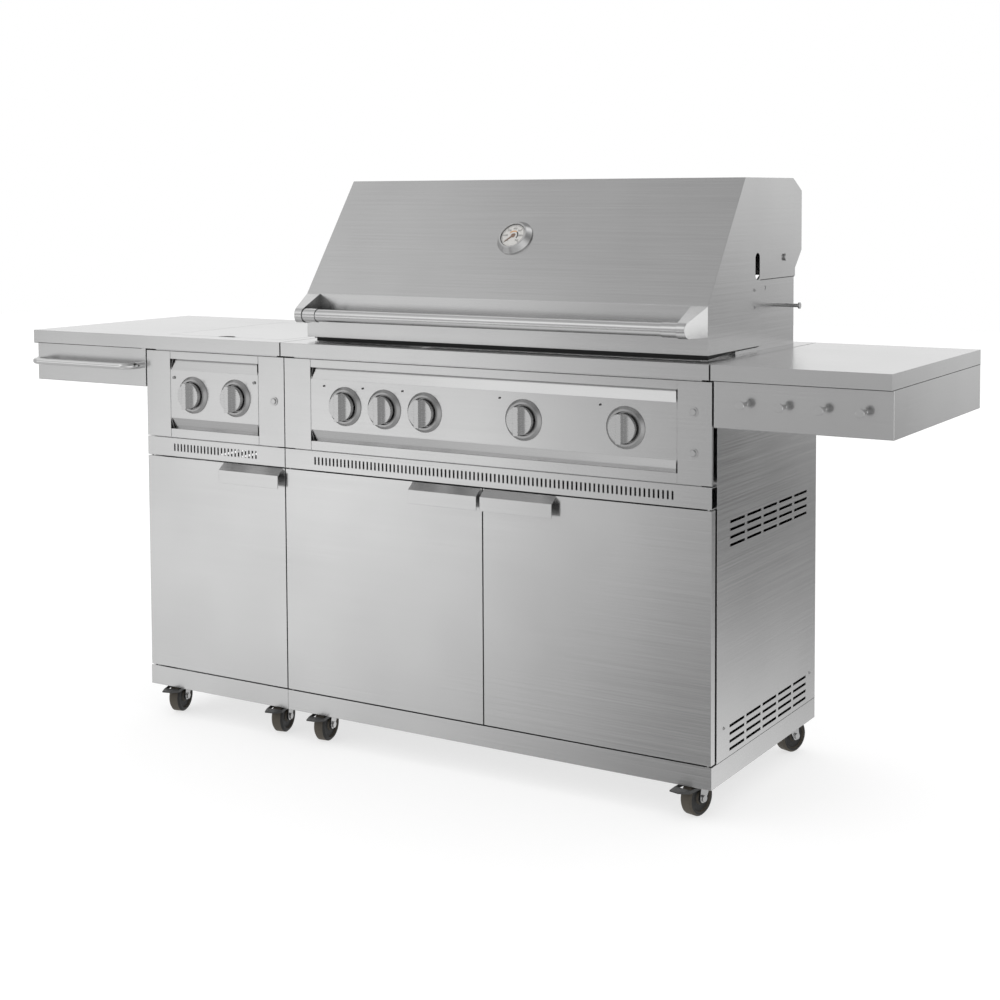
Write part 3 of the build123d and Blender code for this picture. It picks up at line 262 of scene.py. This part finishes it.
def brush_lines():
    """Brush lines along X, or along Y on faces that look along X, with broader clouding."""
    group, tree = new_group("brush_lines", (), {"Lines": "NodeSocketFloat", "Clouds": "NodeSocketFloat"})
    coordinates = tree.add("ShaderNodeTexCoord")
    sideways = tree.ramp(tree.math("ABSOLUTE", tree.split(coordinates.outputs["Normal"])["X"]), 0.6, 0.8)
    fields = []
    for stretch in ((BRUSH_ALONG, BRUSH_ACROSS, BRUSH_ACROSS), (BRUSH_ACROSS, BRUSH_ALONG, BRUSH_ACROSS)):
        mapping = tree.add("ShaderNodeMapping")
        mapping.inputs["Scale"].default_value = stretch
        tree.link(coordinates.outputs["Object"], mapping.inputs["Vector"])
        noise = tree.add("ShaderNodeTexNoise")
        noise.inputs["Scale"].default_value = 1.0
        noise.inputs["Detail"].default_value = 3.0
        noise.inputs["Roughness"].default_value = 0.7
        tree.link(mapping.outputs[0], noise.inputs["Vector"])
        fields.append(noise.outputs[0])
    lines = tree.add("ShaderNodeMix", data_type="FLOAT")
    tree.feed(lines.inputs[0], sideways)
    tree.feed(lines.inputs[2], fields[0])
    tree.feed(lines.inputs[3], fields[1])
    clouds = tree.add("ShaderNodeTexNoise")
    clouds.inputs["Scale"].default_value = CLOUD_SCALE
    clouds.inputs["Detail"].default_value = 2.0
    tree.link(coordinates.outputs["Object"], clouds.inputs["Vector"])
    output = tree.add("NodeGroupOutput")
    tree.link(lines.outputs[0], output.inputs["Lines"])
    tree.link(clouds.outputs[0], output.inputs["Clouds"])
    return group


def pebble():
    """Fine pebble of cast, moulded and painted surfaces."""
    group, tree = new_group("pebble", ("Scale", "Detail"), {"Pebble": "NodeSocketFloat"})
    values = tree.add("NodeGroupInput").outputs
    noise = tree.add("ShaderNodeTexNoise")
    tree.link(tree.add("ShaderNodeTexCoord").outputs["Object"], noise.inputs["Vector"])
    tree.link(values["Scale"], noise.inputs["Scale"])
    tree.link(values["Detail"], noise.inputs["Detail"])
    tree.link(noise.outputs[0], tree.add("NodeGroupOutput").inputs["Pebble"])
    return group


def soft_edges():
    """Softened edges with a fine relief on top."""
    group, tree = new_group("soft_edges", ("Radius", "Height", "Strength"), {"Normal": "NodeSocketVector"})
    values = tree.add("NodeGroupInput").outputs
    bevel = tree.add("ShaderNodeBevel", samples=4)
    tree.link(values["Radius"], bevel.inputs["Radius"])
    bump = tree.add("ShaderNodeBump")
    bump.inputs["Distance"].default_value = RELIEF_DEPTH
    tree.link(values["Strength"], bump.inputs["Strength"])
    tree.link(values["Height"], bump.inputs["Height"])
    tree.link(bevel.outputs[0], bump.inputs["Normal"])
    tree.link(bump.outputs[0], tree.add("NodeGroupOutput").inputs["Normal"])
    return group


def new_material(name):
    """An empty material with the wiring helper and its Principled shader."""
    material = bpy.data.materials.new(name)
    material.use_nodes = True
    return material, Tree(material.node_tree), material.node_tree.nodes["Principled BSDF"]


def soften(tree, shader, effects, radius, height, strength):
    """Place the softened edges with a relief on a shader."""
    edges = tree.add("ShaderNodeGroup", node_tree=effects["soft_edges"])
    edges.inputs["Radius"].default_value = radius
    edges.inputs["Strength"].default_value = strength
    tree.link(height, edges.inputs["Height"])
    tree.link(edges.outputs["Normal"], shader.inputs["Normal"])


def lay_over(tree, shader, mask, shade):
    """Mix a grey over the shader's base colour where a mask is set."""
    plain = shader.inputs["Base Color"].links[0].from_socket
    tree.link(tree.mix(mask, plain, (shade, shade, shade, 1)), shader.inputs["Base Color"])


STEELS = {
    # shade, roughness, its spread over the brush lines, edge radius, anisotropy
    "brushed_sheet": (0.62, 0.22, 0.04, 0.0009, 0.6),
    "apron_sheet": (0.62, 0.22, 0.04, 0.0028, 0.6),
    "inner_steel": (0.42, 0.42, 0.06, 0.0008, 0.0),
    "bright_steel": (0.66, 0.17, 0.03, 0.0008, 0.0),
    "handle_steel": (0.66, 0.24, 0.04, 0.0010, 0.0),
    # polished towel bar steel, its shade raised above bright_steel as a painted highlight
    "rail_steel": (0.82, 0.15, 0.03, 0.0008, 0.0),
    "knob_metal": (0.58, 0.26, 0.03, 0.0010, 0.0),
    "bezel_steel": (0.46, 0.30, 0.05, 0.0008, 0.0),
    "button_steel": (0.54, 0.20, 0.03, 0.0008, 0.0),
    "plated_steel": (0.68, 0.20, 0.04, 0.0008, 0.0),
    "manifold_alloy": (0.55, 0.45, 0.05, 0.0008, 0.0),
    "screw_steel": (0.50, 0.25, 0.03, 0.0004, 0.0),
}
STEEL_TONES = (0.93, 1.05)  # darkest and lightest brush line to the shade
BRUSH_RELIEF = 0.06


def steel(name, effects, shade, roughness, spread, edge, anisotropy):
    """Stainless sheet or bar: brush lines in tone and gloss, stretched highlights across them."""
    material, tree, shader = new_material(name)
    grain = tree.add("ShaderNodeGroup", node_tree=effects["brush_lines"])
    lines = grain.outputs["Lines"]
    tone = tree.math("ADD", lines, tree.math("MULTIPLY", grain.outputs["Clouds"], 0.8))
    dark, light = ([min(shade * share, 1)] * 3 + [1] for share in STEEL_TONES)
    tree.link(tree.mix(tree.ramp(tone, 0.6, 1.2), dark, light), shader.inputs["Base Color"])
    gloss = tree.ramp(lines, 0.25, 0.75, roughness - spread, roughness + spread)
    tree.link(gloss, shader.inputs["Roughness"])
    shader.inputs["Metallic"].default_value = 1.0
    if anisotropy:
        shader.inputs["Anisotropic"].default_value = anisotropy
        facing = tree.add("ShaderNodeNewGeometry").outputs["Normal"]
        sideways = tree.math("GREATER_THAN", tree.math("ABSOLUTE", tree.split(facing)["X"]), 0.7)
        along = tree.add("ShaderNodeMix", data_type="VECTOR")
        tree.feed(along.inputs[0], sideways)
        along.inputs[4].default_value = (1, 0, 0)
        along.inputs[5].default_value = (0, 1, 0)
        tree.link(tree.vector("CROSS_PRODUCT", facing, along.outputs[1]), shader.inputs["Tangent"])
    soften(tree, shader, effects, edge, lines, BRUSH_RELIEF)
    return material


# Painted shade in the handle brackets' inner corners: how far it reaches, and its grey
PAINTED_CORNER_REACH = 0.08
PAINTED_CORNER_SHADE = 0.12
# grey of the painted highlight along the aprons' upright corners
PAINTED_HIGHLIGHT_GREY = 0.96


def darken_inner_corners(material):
    """The inner corners of the handle's brackets: painted shade from ambient occlusion, on faces that look sideways.
    """
    tree = Tree(material.node_tree)
    corner = tree.add("ShaderNodeAmbientOcclusion", samples=6)
    corner.inputs["Distance"].default_value = PAINTED_CORNER_REACH
    facing = tree.split(tree.add("ShaderNodeNewGeometry").outputs["Normal"])
    sideways = tree.ramp(tree.math("ABSOLUTE", facing["X"]), 0.6, 0.8)
    # painted shade where the corner is shut in
    painted_shade = tree.math("MULTIPLY", tree.ramp(corner.outputs["AO"], 0.6, 0.97, 1.0, 0.0), sideways)
    lay_over(tree, material.node_tree.nodes["Principled BSDF"], painted_shade, PAINTED_CORNER_SHADE)


def rub_corners(material, radius):
    """Upright fold corners of a sheet, with a painted highlight along them."""
    tree = Tree(material.node_tree)
    bevel = tree.add("ShaderNodeBevel", samples=4)
    bevel.inputs["Radius"].default_value = radius
    flat = tree.add("ShaderNodeNewGeometry").outputs["Normal"]
    turned = tree.ramp(tree.vector("DOT_PRODUCT", bevel.outputs[0], flat, output=1), 0.80, 0.985, 1.0, 0.0)
    upright = tree.ramp(tree.math("ABSOLUTE", tree.split(bevel.outputs[0])["Z"]), 0.1, 0.3, 1.0, 0.0)
    # painted highlight along the upright corners
    painted_highlight = tree.math("MULTIPLY", turned, upright)
    lay_over(tree, material.node_tree.nodes["Principled BSDF"], painted_highlight, PAINTED_HIGHLIGHT_GREY)


SPECKLED = {
    # colour, roughness, pebble scale, relief, edge radius, specular level
    "pedal_dark": ((0.05, 0.05, 0.05), 0.40, 320, 0.10, 0.0006, 0.5),
    "cast_iron": ((0.035, 0.035, 0.037), 0.55, 420, 0.35, 0.0010, 0.5),
    # black of the strips of painted shade in gaps, seams and the thumb notch
    "painted_shade_black": ((0.02, 0.02, 0.02), 0.60, 400, 0.10, 0.0003, 0.2),
    "needle_brown": ((0.22, 0.14, 0.10), 0.50, 300, 0.05, 0.0002, 0.5),
    "dial_white": ((0.62, 0.61, 0.59), 0.45, 500, 0.02, 0.0002, 0.5),
    "dial_ink": ((0.03, 0.03, 0.03), 0.50, 500, 0.02, 0.0001, 0.5),
    "dial_amber": ((0.62, 0.30, 0.10), 0.50, 500, 0.02, 0.0001, 0.5),
}
PEBBLE_TONES = (0.75, 1.25)
PEBBLE_GLOSS = (0.85, 1.15)


def place_pebble(tree, effects, scale, detail):
    """The pebble effect in a material, and its output."""
    node = tree.add("ShaderNodeGroup", node_tree=effects["pebble"])
    node.inputs["Scale"].default_value = scale
    node.inputs["Detail"].default_value = detail
    return node.outputs["Pebble"]


def speckled(name, effects, colour, roughness, scale, relief, edge, specular):
    """Cast, moulded or painted surface with a fine pebble and uneven gloss."""
    material, tree, shader = new_material(name)
    grit = place_pebble(tree, effects, scale, 4.0)
    dark, light = ([min(part * share, 1) for part in colour] + [1] for share in PEBBLE_TONES)
    tree.link(tree.mix(grit, dark, light), shader.inputs["Base Color"])
    low, high = (roughness * share for share in PEBBLE_GLOSS)
    tree.link(tree.ramp(grit, 0.3, 0.7, low, high), shader.inputs["Roughness"])
    shader.inputs["Specular IOR Level"].default_value = specular
    soften(tree, shader, effects, edge, grit, relief)
    return material


TREAD_DARK = (0.050, 0.042, 0.032, 1)
TREAD_LIGHT = (0.085, 0.073, 0.056, 1)
TYRE_SIDE = (0.012, 0.012, 0.012, 1)


def tyre(name, effects):
    """Dark wheel: brown-black tread, and blacker moulded sides."""
    material, tree, shader = new_material(name)
    grit = place_pebble(tree, effects, 240, 2.0)
    facing = tree.split(tree.add("ShaderNodeTexCoord").outputs["Normal"])
    side = tree.ramp(tree.math("ABSOLUTE", facing["X"]), 0.55, 0.8)
    tread = tree.mix(grit, TREAD_DARK, TREAD_LIGHT)
    tree.link(tree.mix(side, tread, TYRE_SIDE), shader.inputs["Base Color"])
    tree.link(tree.ramp(grit, 0.3, 0.7, 0.45, 0.6), shader.inputs["Roughness"])
    soften(tree, shader, effects, 0.0012, grit, 0.1)
    return material


def make_materials():
    """The finishes of the record's material slots, and those of single nodes and added pieces."""
    effects = {"brush_lines": brush_lines(), "pebble": pebble(), "soft_edges": soft_edges()}
    materials = {name: steel(name, effects, *values) for name, values in STEELS.items()}
    materials.update({name: speckled(name, effects, *values) for name, values in SPECKLED.items()})
    materials["wheel_rubber"] = tyre("wheel_rubber", effects)
    # painted shade in the inner corners of the handle's brackets
    darken_inner_corners(materials["handle_steel"])
    # painted highlight along the aprons' upright corners
    rub_corners(materials["apron_sheet"], STEELS["apron_sheet"][3])
    return materials


OWN_FINISHES = {
    "knob_bezels": "bezel_steel",
    "lid_handle": "handle_steel",
    "shelf_aprons": "apron_sheet",
    # the towel bar's lighter steel is partly a painted highlight
    "towel_bar": "rail_steel",
    "thermometer_needle": "needle_brown",
}


def dress_frame(materials):
    """Give each CAD node the finish of its slot, or its own one."""
    for entry in frame["record"]["subparts"]:
        mesh = frame["nodes"][entry["node"]].data
        mesh.materials.clear()
        mesh.materials.append(materials[OWN_FINISHES.get(entry["node"], entry["material_slot"])])


def add_piece(name, form, material, body):
    """Put a finished mesh in the scene as a piece that moves with a body."""
    mesh = bpy.data.meshes.new(name)
    form.to_mesh(mesh)
    form.free()
    mesh.materials.append(material)
    piece = bpy.data.objects.new(name, mesh)
    bpy.context.scene.collection.objects.link(piece)
    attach(piece, body)
    return piece


def face_turn(place, normal, up=(0, 0, 1)):
    """Matrix that sets a flat form, drawn in its own XY, on a face at a place."""
    out = Vector(normal).normalized()
    across = Vector(up).cross(out).normalized()
    return Matrix.Translation(place) @ Matrix((across, out.cross(across), out)).transposed().to_4x4()


def circle(radius, sides, height):
    """Points of a circle in its own XY, at a height."""
    angles = [2 * math.pi * i / sides for i in range(sides)]
    return [Vector((math.cos(a) * radius, math.sin(a) * radius, height)) for a in angles]


SCREW_RADIUS = 0.0036
SCREW_HEIGHT = 0.0018
SCREW_RINGS = ((1.0, 0.0), (0.98, 0.3), (0.86, 0.62), (0.62, 0.9), (0.42, 1.0), (0.40, 0.4))
SCREW_SIDES = 18
FASCIA_SCREW_REACH = 0.123  # from the left panel's middle
FASCIA_SCREW_Z = 0.824
SIDE_SCREWS = ((0.062, 0.181), (0.529, 0.181))  # behind the door faces, above the floor
LID_SCREWS = ((0.283, 1.053), (0.286, 1.017))
BACK_SCREW_INSET = 0.016
BACK_SCREW_HEIGHTS = (0.16, 0.42, 0.66, 0.84)


def add_screw(form, place, normal):
    """One domed socket screw in a form."""
    turn = face_turn(place, normal)
    rings = []
    for share, rise in SCREW_RINGS:
        points = circle(SCREW_RADIUS * share, SCREW_SIDES, SCREW_HEIGHT * rise)
        rings.append([form.verts.new(turn @ point) for point in points])
    for low, high in zip(rings, rings[1:]):
        for i in range(SCREW_SIDES):
            k = (i + 1) % SCREW_SIDES
            form.faces.new((low[i], low[k], high[k], high[i]))
    form.faces.new(rings[-1])


def add_screws(name, spots, normal, materials, body="cart"):
    """A group of screws on one face, as one piece."""
    form = bmesh.new()
    for spot in spots:
        add_screw(form, spot, normal)
    add_piece(name, form, materials["screw_steel"], body)


def add_all_screws(materials):
    """Screws of the fascia, the side panels, the lid sides and the backs."""
    fascia_x = (left_panel_low[0] + left_panel_high[0]) / 2
    fascia_spots = [(fascia_x + reach, front_y, FASCIA_SCREW_Z)
                    for reach in (-FASCIA_SCREW_REACH, FASCIA_SCREW_REACH)]
    add_screws("fascia_screws", fascia_spots, (0, -1, 0), materials)
    for name, side_x, outward in (("right_side_screws", main_high[0], 1), ("left_side_screws", left_low[0], -1)):
        spots = [(side_x, front_y + y, z) for y, z in SIDE_SCREWS]
        add_screws(name, spots, (outward, 0, 0), materials)
    for name, side_x, outward in (("lid_right_screws", lid_high[0], 1), ("lid_left_screws", lid_low[0], -1)):
        spots = [(side_x, front_y + y, z) for y, z in LID_SCREWS]
        add_screws(name, spots, (outward, 0, 0), materials, "lid")
    back_spots = []
    for low, high in ((left_low, left_high), (main_low, main_high)):
        for z in BACK_SCREW_HEIGHTS:
            back_spots += [(x, high[1], z) for x in (low[0] + BACK_SCREW_INSET, high[0] - BACK_SCREW_INSET)]
    add_screws("back_screws", back_spots, (0, 1, 0), materials)


PRINT_LIFT = 0.00012
DIAL_RADIUS = 0.0292
DIAL_LIFT = 0.00006
DIAL_SIDES = 72
DIAL_START = 225  # degrees anticlockwise from the right, at the lowest mark
DIAL_SWEEP = 270
DIAL_STEPS = 54
STEPS_TO_MAJOR = 9
TICK_END = 0.0272
MAJOR_TICK = (0.0225, 0.0075)  # inner end, and width as a share of the sweep
MINOR_TICK = (0.0245, 0.0045)
RIM_LINE = (0.0280, 0.0291)
NUMBERS = (100, 200, 300, 400, 500, 600, 700)
NUMBER_RADIUS = 0.0182
NUMBER_SIZE = 0.0064
ARC_RADII = (0.0100, 0.0128)
ARC_STEPS = 18
ARCS = (("dial_warm_arc", 0.30, 0.62, "dial_amber"), ("dial_hot_arc", 0.64, 0.96, "dial_ink"))


def dial_point(turn, share, radius):
    """Point of the dial's print at a share of the scale, clockwise from the lowest mark."""
    angle = math.radians(DIAL_START - DIAL_SWEEP * share)
    return turn @ Vector((math.cos(angle) * radius, math.sin(angle) * radius, PRINT_LIFT))


def add_dial_band(form, turn, radii, shares):
    """A printed band between two radii, along shares of the scale."""
    inner, outer = ([form.verts.new(dial_point(turn, share, radius)) for share in shares] for radius in radii)
    for i in range(len(shares) - 1):
        form.faces.new((inner[i], inner[i + 1], outer[i + 1], outer[i]))
    return inner, outer


def add_dial_number(form, turn, share, number):
    """One number of the scale in a form."""
    curve = bpy.data.curves.new("dial_number", "FONT")
    curve.body = str(number)
    curve.size = NUMBER_SIZE
    curve.align_x = "CENTER"
    curve.align_y = "CENTER"
    writing = bpy.data.objects.new("dial_number", curve)
    bpy.context.scene.collection.objects.link(writing)
    bpy.context.view_layer.update()
    outline = bpy.data.meshes.new_from_object(writing)
    outline.transform(Matrix.Translation(dial_point(turn, share, NUMBER_RADIUS)) @ turn.to_3x3().to_4x4())
    form.from_mesh(outline)
    bpy.data.objects.remove(writing)
    bpy.data.meshes.remove(outline)
    bpy.data.curves.remove(curve)


def add_dial(materials):
    """Dial face with its scale, rim line, numbers and coloured arcs, on the lid."""
    joint = next(j for j in frame["record"]["behaviour"]["joints"] if j["name"] == "gauge_needle_turn")
    out = -Vector(joint["axis"])
    turn = face_turn(joint["pos_m"], out, Vector((0, 0, 1)) - out * out.z)
    face = bmesh.new()
    face.faces.new([face.verts.new(turn @ point) for point in circle(DIAL_RADIUS, DIAL_SIDES, DIAL_LIFT)])
    add_piece("dial_face", face, materials["dial_white"], "lid")

    ink = bmesh.new()
    for i in range(DIAL_STEPS + 1):
        inner, width = MINOR_TICK if i % STEPS_TO_MAJOR else MAJOR_TICK
        middle = i / DIAL_STEPS
        add_dial_band(ink, turn, (inner, TICK_END), (middle - width / 2, middle + width / 2))
    inner, outer = add_dial_band(ink, turn, RIM_LINE, [i / DIAL_STEPS for i in range(DIAL_SIDES)])
    ink.faces.new((inner[-1], inner[0], outer[0], outer[-1]))
    for i, number in enumerate(NUMBERS):
        add_dial_number(ink, turn, i / (len(NUMBERS) - 1), number)
    add_piece("dial_print", ink, materials["dial_ink"], "lid")

    for name, start, end, finish in ARCS:
        arc = bmesh.new()
        shares = [start + (end - start) * i / ARC_STEPS for i in range(ARC_STEPS + 1)]
        add_dial_band(arc, turn, ARC_RADII, shares)
        add_piece(name, arc, materials[finish], "lid")


GRILL_KNOBS = 5
DOT_TO_LEFT = 0.058
DOT_Z = 0.828
DOT_RADIUS = 0.0022
DOT_SIDES = 24


def add_knob_dots(materials):
    """A small dark dot at the upper left of each grill knob."""
    dots = bmesh.new()
    for number in range(1, GRILL_KNOBS + 1):
        low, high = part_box(f"grill_knob_{number}")
        turn = face_turn(((low[0] + high[0]) / 2 - DOT_TO_LEFT, front_y, DOT_Z), (0, -1, 0))
        dots.faces.new([dots.verts.new(turn @ point) for point in circle(DOT_RADIUS, DOT_SIDES, PRINT_LIFT)])
    add_piece("knob_dots", dots, materials["dial_ink"], "cart")


def add_wall(form, outer, inner, lows, high):
    """A low wall in a form, along two matching lines in plan, with the foot's height at each point."""
    rings = []
    for a, b, low in zip(outer, inner, lows):
        corners = ((a[0], a[1], low), (a[0], a[1], high), (b[0], b[1], high), (b[0], b[1], low))
        rings.append([form.verts.new(corner) for corner in corners])
    for near, far in zip(rings, rings[1:]):
        for i in range(4):
            k = (i + 1) % 4
            form.faces.new((near[i], near[k], far[k], far[i]))
    form.faces.new(rings[0])
    form.faces.new(rings[-1])
    bmesh.ops.recalc_face_normals(form, faces=form.faces)


LID_STEP_Y = 0.311  # door faces to the lid's raised rear edge
LID_STEP_Z = 0.1405
LID_REAR_Y = 0.505
# Painted shade: dark strips in the gaps below the lid's edges
LID_SHADE_FACES = (0.0002, 0.0013)  # outer and inner face, in from the lid's own
LID_SHADE_START = 0.027  # in from the lid's left front corner
LID_SHADE_TAPER_Y = 0.12  # where the side strips of painted shade have thinned, behind the lid's front
LID_SHADE_FRONT_DROP = 0.0085
LID_SHADE_LEFT_DROP = 0.005
LID_SHADE_TAPER_DROP = 0.002
LID_SHADE_DROP = 0.0015
LID_SHADE_REAR_SPAN = (LID_STEP_Y + 0.003, 0.41, LID_REAR_Y)


def add_lid_seal(materials):
    """Dark strips of painted shade below the lid's lower edges, in the gap there: deep at the front and thin along the
    sides.
    """
    shade_strips = bmesh.new()
    foot = lid_low[2]
    back_y = front_y + LID_STEP_Y - 0.004
    taper = (LID_SHADE_TAPER_DROP, LID_SHADE_DROP)

    front_lines = []
    for inset in LID_SHADE_FACES:
        y = lid_low[1] + inset
        right = lid_high[0] - inset
        front_lines.append([(lid_low[0] + LID_SHADE_START, y), (right, y), (right, y + LID_SHADE_TAPER_Y), (right, back_y)])
    lows = [foot - drop for drop in (LID_SHADE_FRONT_DROP, LID_SHADE_FRONT_DROP, *taper)]
    add_wall(shade_strips, *front_lines, lows, foot)

    left_span = (lid_low[1] + LID_SHADE_START, lid_low[1] + LID_SHADE_TAPER_Y, back_y)
    left_lines = [[(lid_low[0] + inset, y) for y in left_span] for inset in LID_SHADE_FACES]
    add_wall(shade_strips, *left_lines, [foot - drop for drop in (LID_SHADE_LEFT_DROP, *taper)], foot)

    step_z = foot + LID_STEP_Z
    for edge, inward in ((lid_low[0], 1), (lid_high[0], -1)):
        lines = [[(edge + inward * inset, front_y + y) for y in LID_SHADE_REAR_SPAN] for inset in LID_SHADE_FACES]
        add_wall(shade_strips, *lines, [step_z - LID_SHADE_DROP] * 3, step_z)
    add_piece("lid_painted_shade", shade_strips, materials["painted_shade_black"], "lid")


# Painted shade: a dark line in the gap under each worktop's edge
SHELF_SHADE_FACES = (0.0006, 0.0022)  # outer and inner face, in from the worktop's front
SHELF_SHADE_END_SHIFT = 0.00055  # further out at the worktop's end
SHELF_SHADE_HEIGHT = 0.0013
SHELF_SHADE_FROM_WALL = 0.006


def add_shelf_beads(materials):
    """Dark strips of painted shade under the worktops' edges, round the aprons."""
    slab_z = panel_high[2]
    for name, node, outward, wall_x in (("right_shelf_painted_shade", "right_worktop", 1, panel_high[0]),
                                        ("left_shelf_painted_shade", "left_worktop", -1, left_panel_low[0])):
        low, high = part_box(node)
        end_x = high[0] if outward > 0 else low[0]
        start_x = wall_x + outward * SHELF_SHADE_FROM_WALL
        lines = []
        for inset in SHELF_SHADE_FACES:
            front, back = low[1] + inset, high[1] - inset
            x = end_x - outward * (inset - SHELF_SHADE_END_SHIFT)
            lines.append([(start_x, front), (x, front), (x, back), (start_x, back)])
        shade_line = bmesh.new()
        add_wall(shade_line, *lines, [slab_z - SHELF_SHADE_HEIGHT] * 4, slab_z)
        add_piece(name, shade_line, materials["painted_shade_black"], "cart")


# Painted shade: a dark line in the seam above each plinth
PLINTH_SHADE_FACES = (0.00015, -0.0004)  # outer and inner face, out from the side panel's
PLINTH_SHADE_HALF = 0.0005
PLINTH_SHADE_INSET = 0.001


def add_plinth_seals(materials):
    """Thin dark strips of painted shade in the seams between the plinths and the outer side panels."""
    form = bmesh.new()
    for side_x, outward, low, high in ((left_low[0], -1, left_low, left_high), (main_high[0], 1, main_low, main_high)):
        span = (low[1] + PLINTH_SHADE_INSET, high[1] - PLINTH_SHADE_INSET)
        lines = [[(side_x + outward * proud, y) for y in span] for proud in PLINTH_SHADE_FACES]
        add_wall(form, *lines, [main_low[2] - PLINTH_SHADE_HALF] * 2, main_low[2] + PLINTH_SHADE_HALF)
    add_piece("plinth_painted_shade", form, materials["painted_shade_black"], "cart")


POST_WIDTH = 0.077
PANEL_GAP = 0.0024
RAIL_HEIGHT = 0.023
BEVEL_HEIGHT = 0.026
BEVEL_DEPTH = 0.009
# Painted shade: dark wedges at the ends of the fascias' sloped edges
END_SHADE_SETBACK = 0.0003
END_SHADE_WIDTH = 0.0008


def add_prism(form, near, far):
    """A closed prism in a form between two matching outlines."""
    ends = [[form.verts.new(point) for point in outline] for outline in (near, far)]
    form.faces.new(ends[0])
    form.faces.new(ends[1])
    for i in range(len(near)):
        k = (i + 1) % len(near)
        form.faces.new((ends[0][i], ends[0][k], ends[1][k], ends[1][i]))


def add_end_fillets(materials):
    """Dark wedges of painted shade where the fascias' sloped edges meet the posts."""
    form = bmesh.new()
    for low, high in ((panel_low, panel_high), (left_panel_low, left_panel_high)):
        left_wall = low[0] - PANEL_GAP / 2 + POST_WIDTH
        right_wall = high[0] + PANEL_GAP / 2 - POST_WIDTH
        for wall_x, inward in ((left_wall, 1), (right_wall, -1)):
            for edge_z, down in ((high[2] - RAIL_HEIGHT, -1), (low[2] + RAIL_HEIGHT, 1)):
                outline = ((front_y + END_SHADE_SETBACK, edge_z + down * BEVEL_HEIGHT),
                           (front_y + END_SHADE_SETBACK, edge_z), (front_y + BEVEL_DEPTH, edge_z))
                add_prism(form, *([(wall_x + inward * x, y, z) for y, z in outline] for x in (0.0, END_SHADE_WIDTH)))
    bmesh.ops.recalc_face_normals(form, faces=form.faces)
    add_piece("fascia_end_painted_shade", form, materials["painted_shade_black"], "cart")


# Painted shade in the burner cover's thumb notch
THUMB_HALF = (0.0235, 0.020)
THUMB_STEPS = 24
THUMB_SETBACK = 0.0002
THUMB_THICKNESS = 0.0003


def add_thumb_pad(materials):
    """Thin dark piece of painted shade round the burner cover's thumb notch."""
    low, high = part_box("burner_cover")
    middle = (low[0] + high[0]) / 2
    angles = [math.pi * i / THUMB_STEPS for i in range(THUMB_STEPS + 1)]
    outline = [(middle + THUMB_HALF[0] * math.cos(a), low[1] + THUMB_SETBACK + THUMB_HALF[1] * math.sin(a))
               for a in angles]
    form = bmesh.new()
    add_prism(form, *([(x, y, z) for x, y in outline] for z in (high[2] + THUMB_THICKNESS, high[2])))
    bmesh.ops.recalc_face_normals(form, faces=form.faces)
    add_piece("thumb_notch_painted_shade", form, materials["painted_shade_black"], "burner_cover")


make_camera()
make_world()
make_floor()
make_lamp()
finishes = make_materials()
dress_frame(finishes)
add_all_screws(finishes)
add_dial(finishes)
add_knob_dots(finishes)
add_lid_seal(finishes)
add_shelf_beads(finishes)
add_plinth_seals(finishes)
add_end_fillets(finishes)
add_thumb_pad(finishes)

view = bpy.context.scene.view_settings
view.view_transform = "Standard"
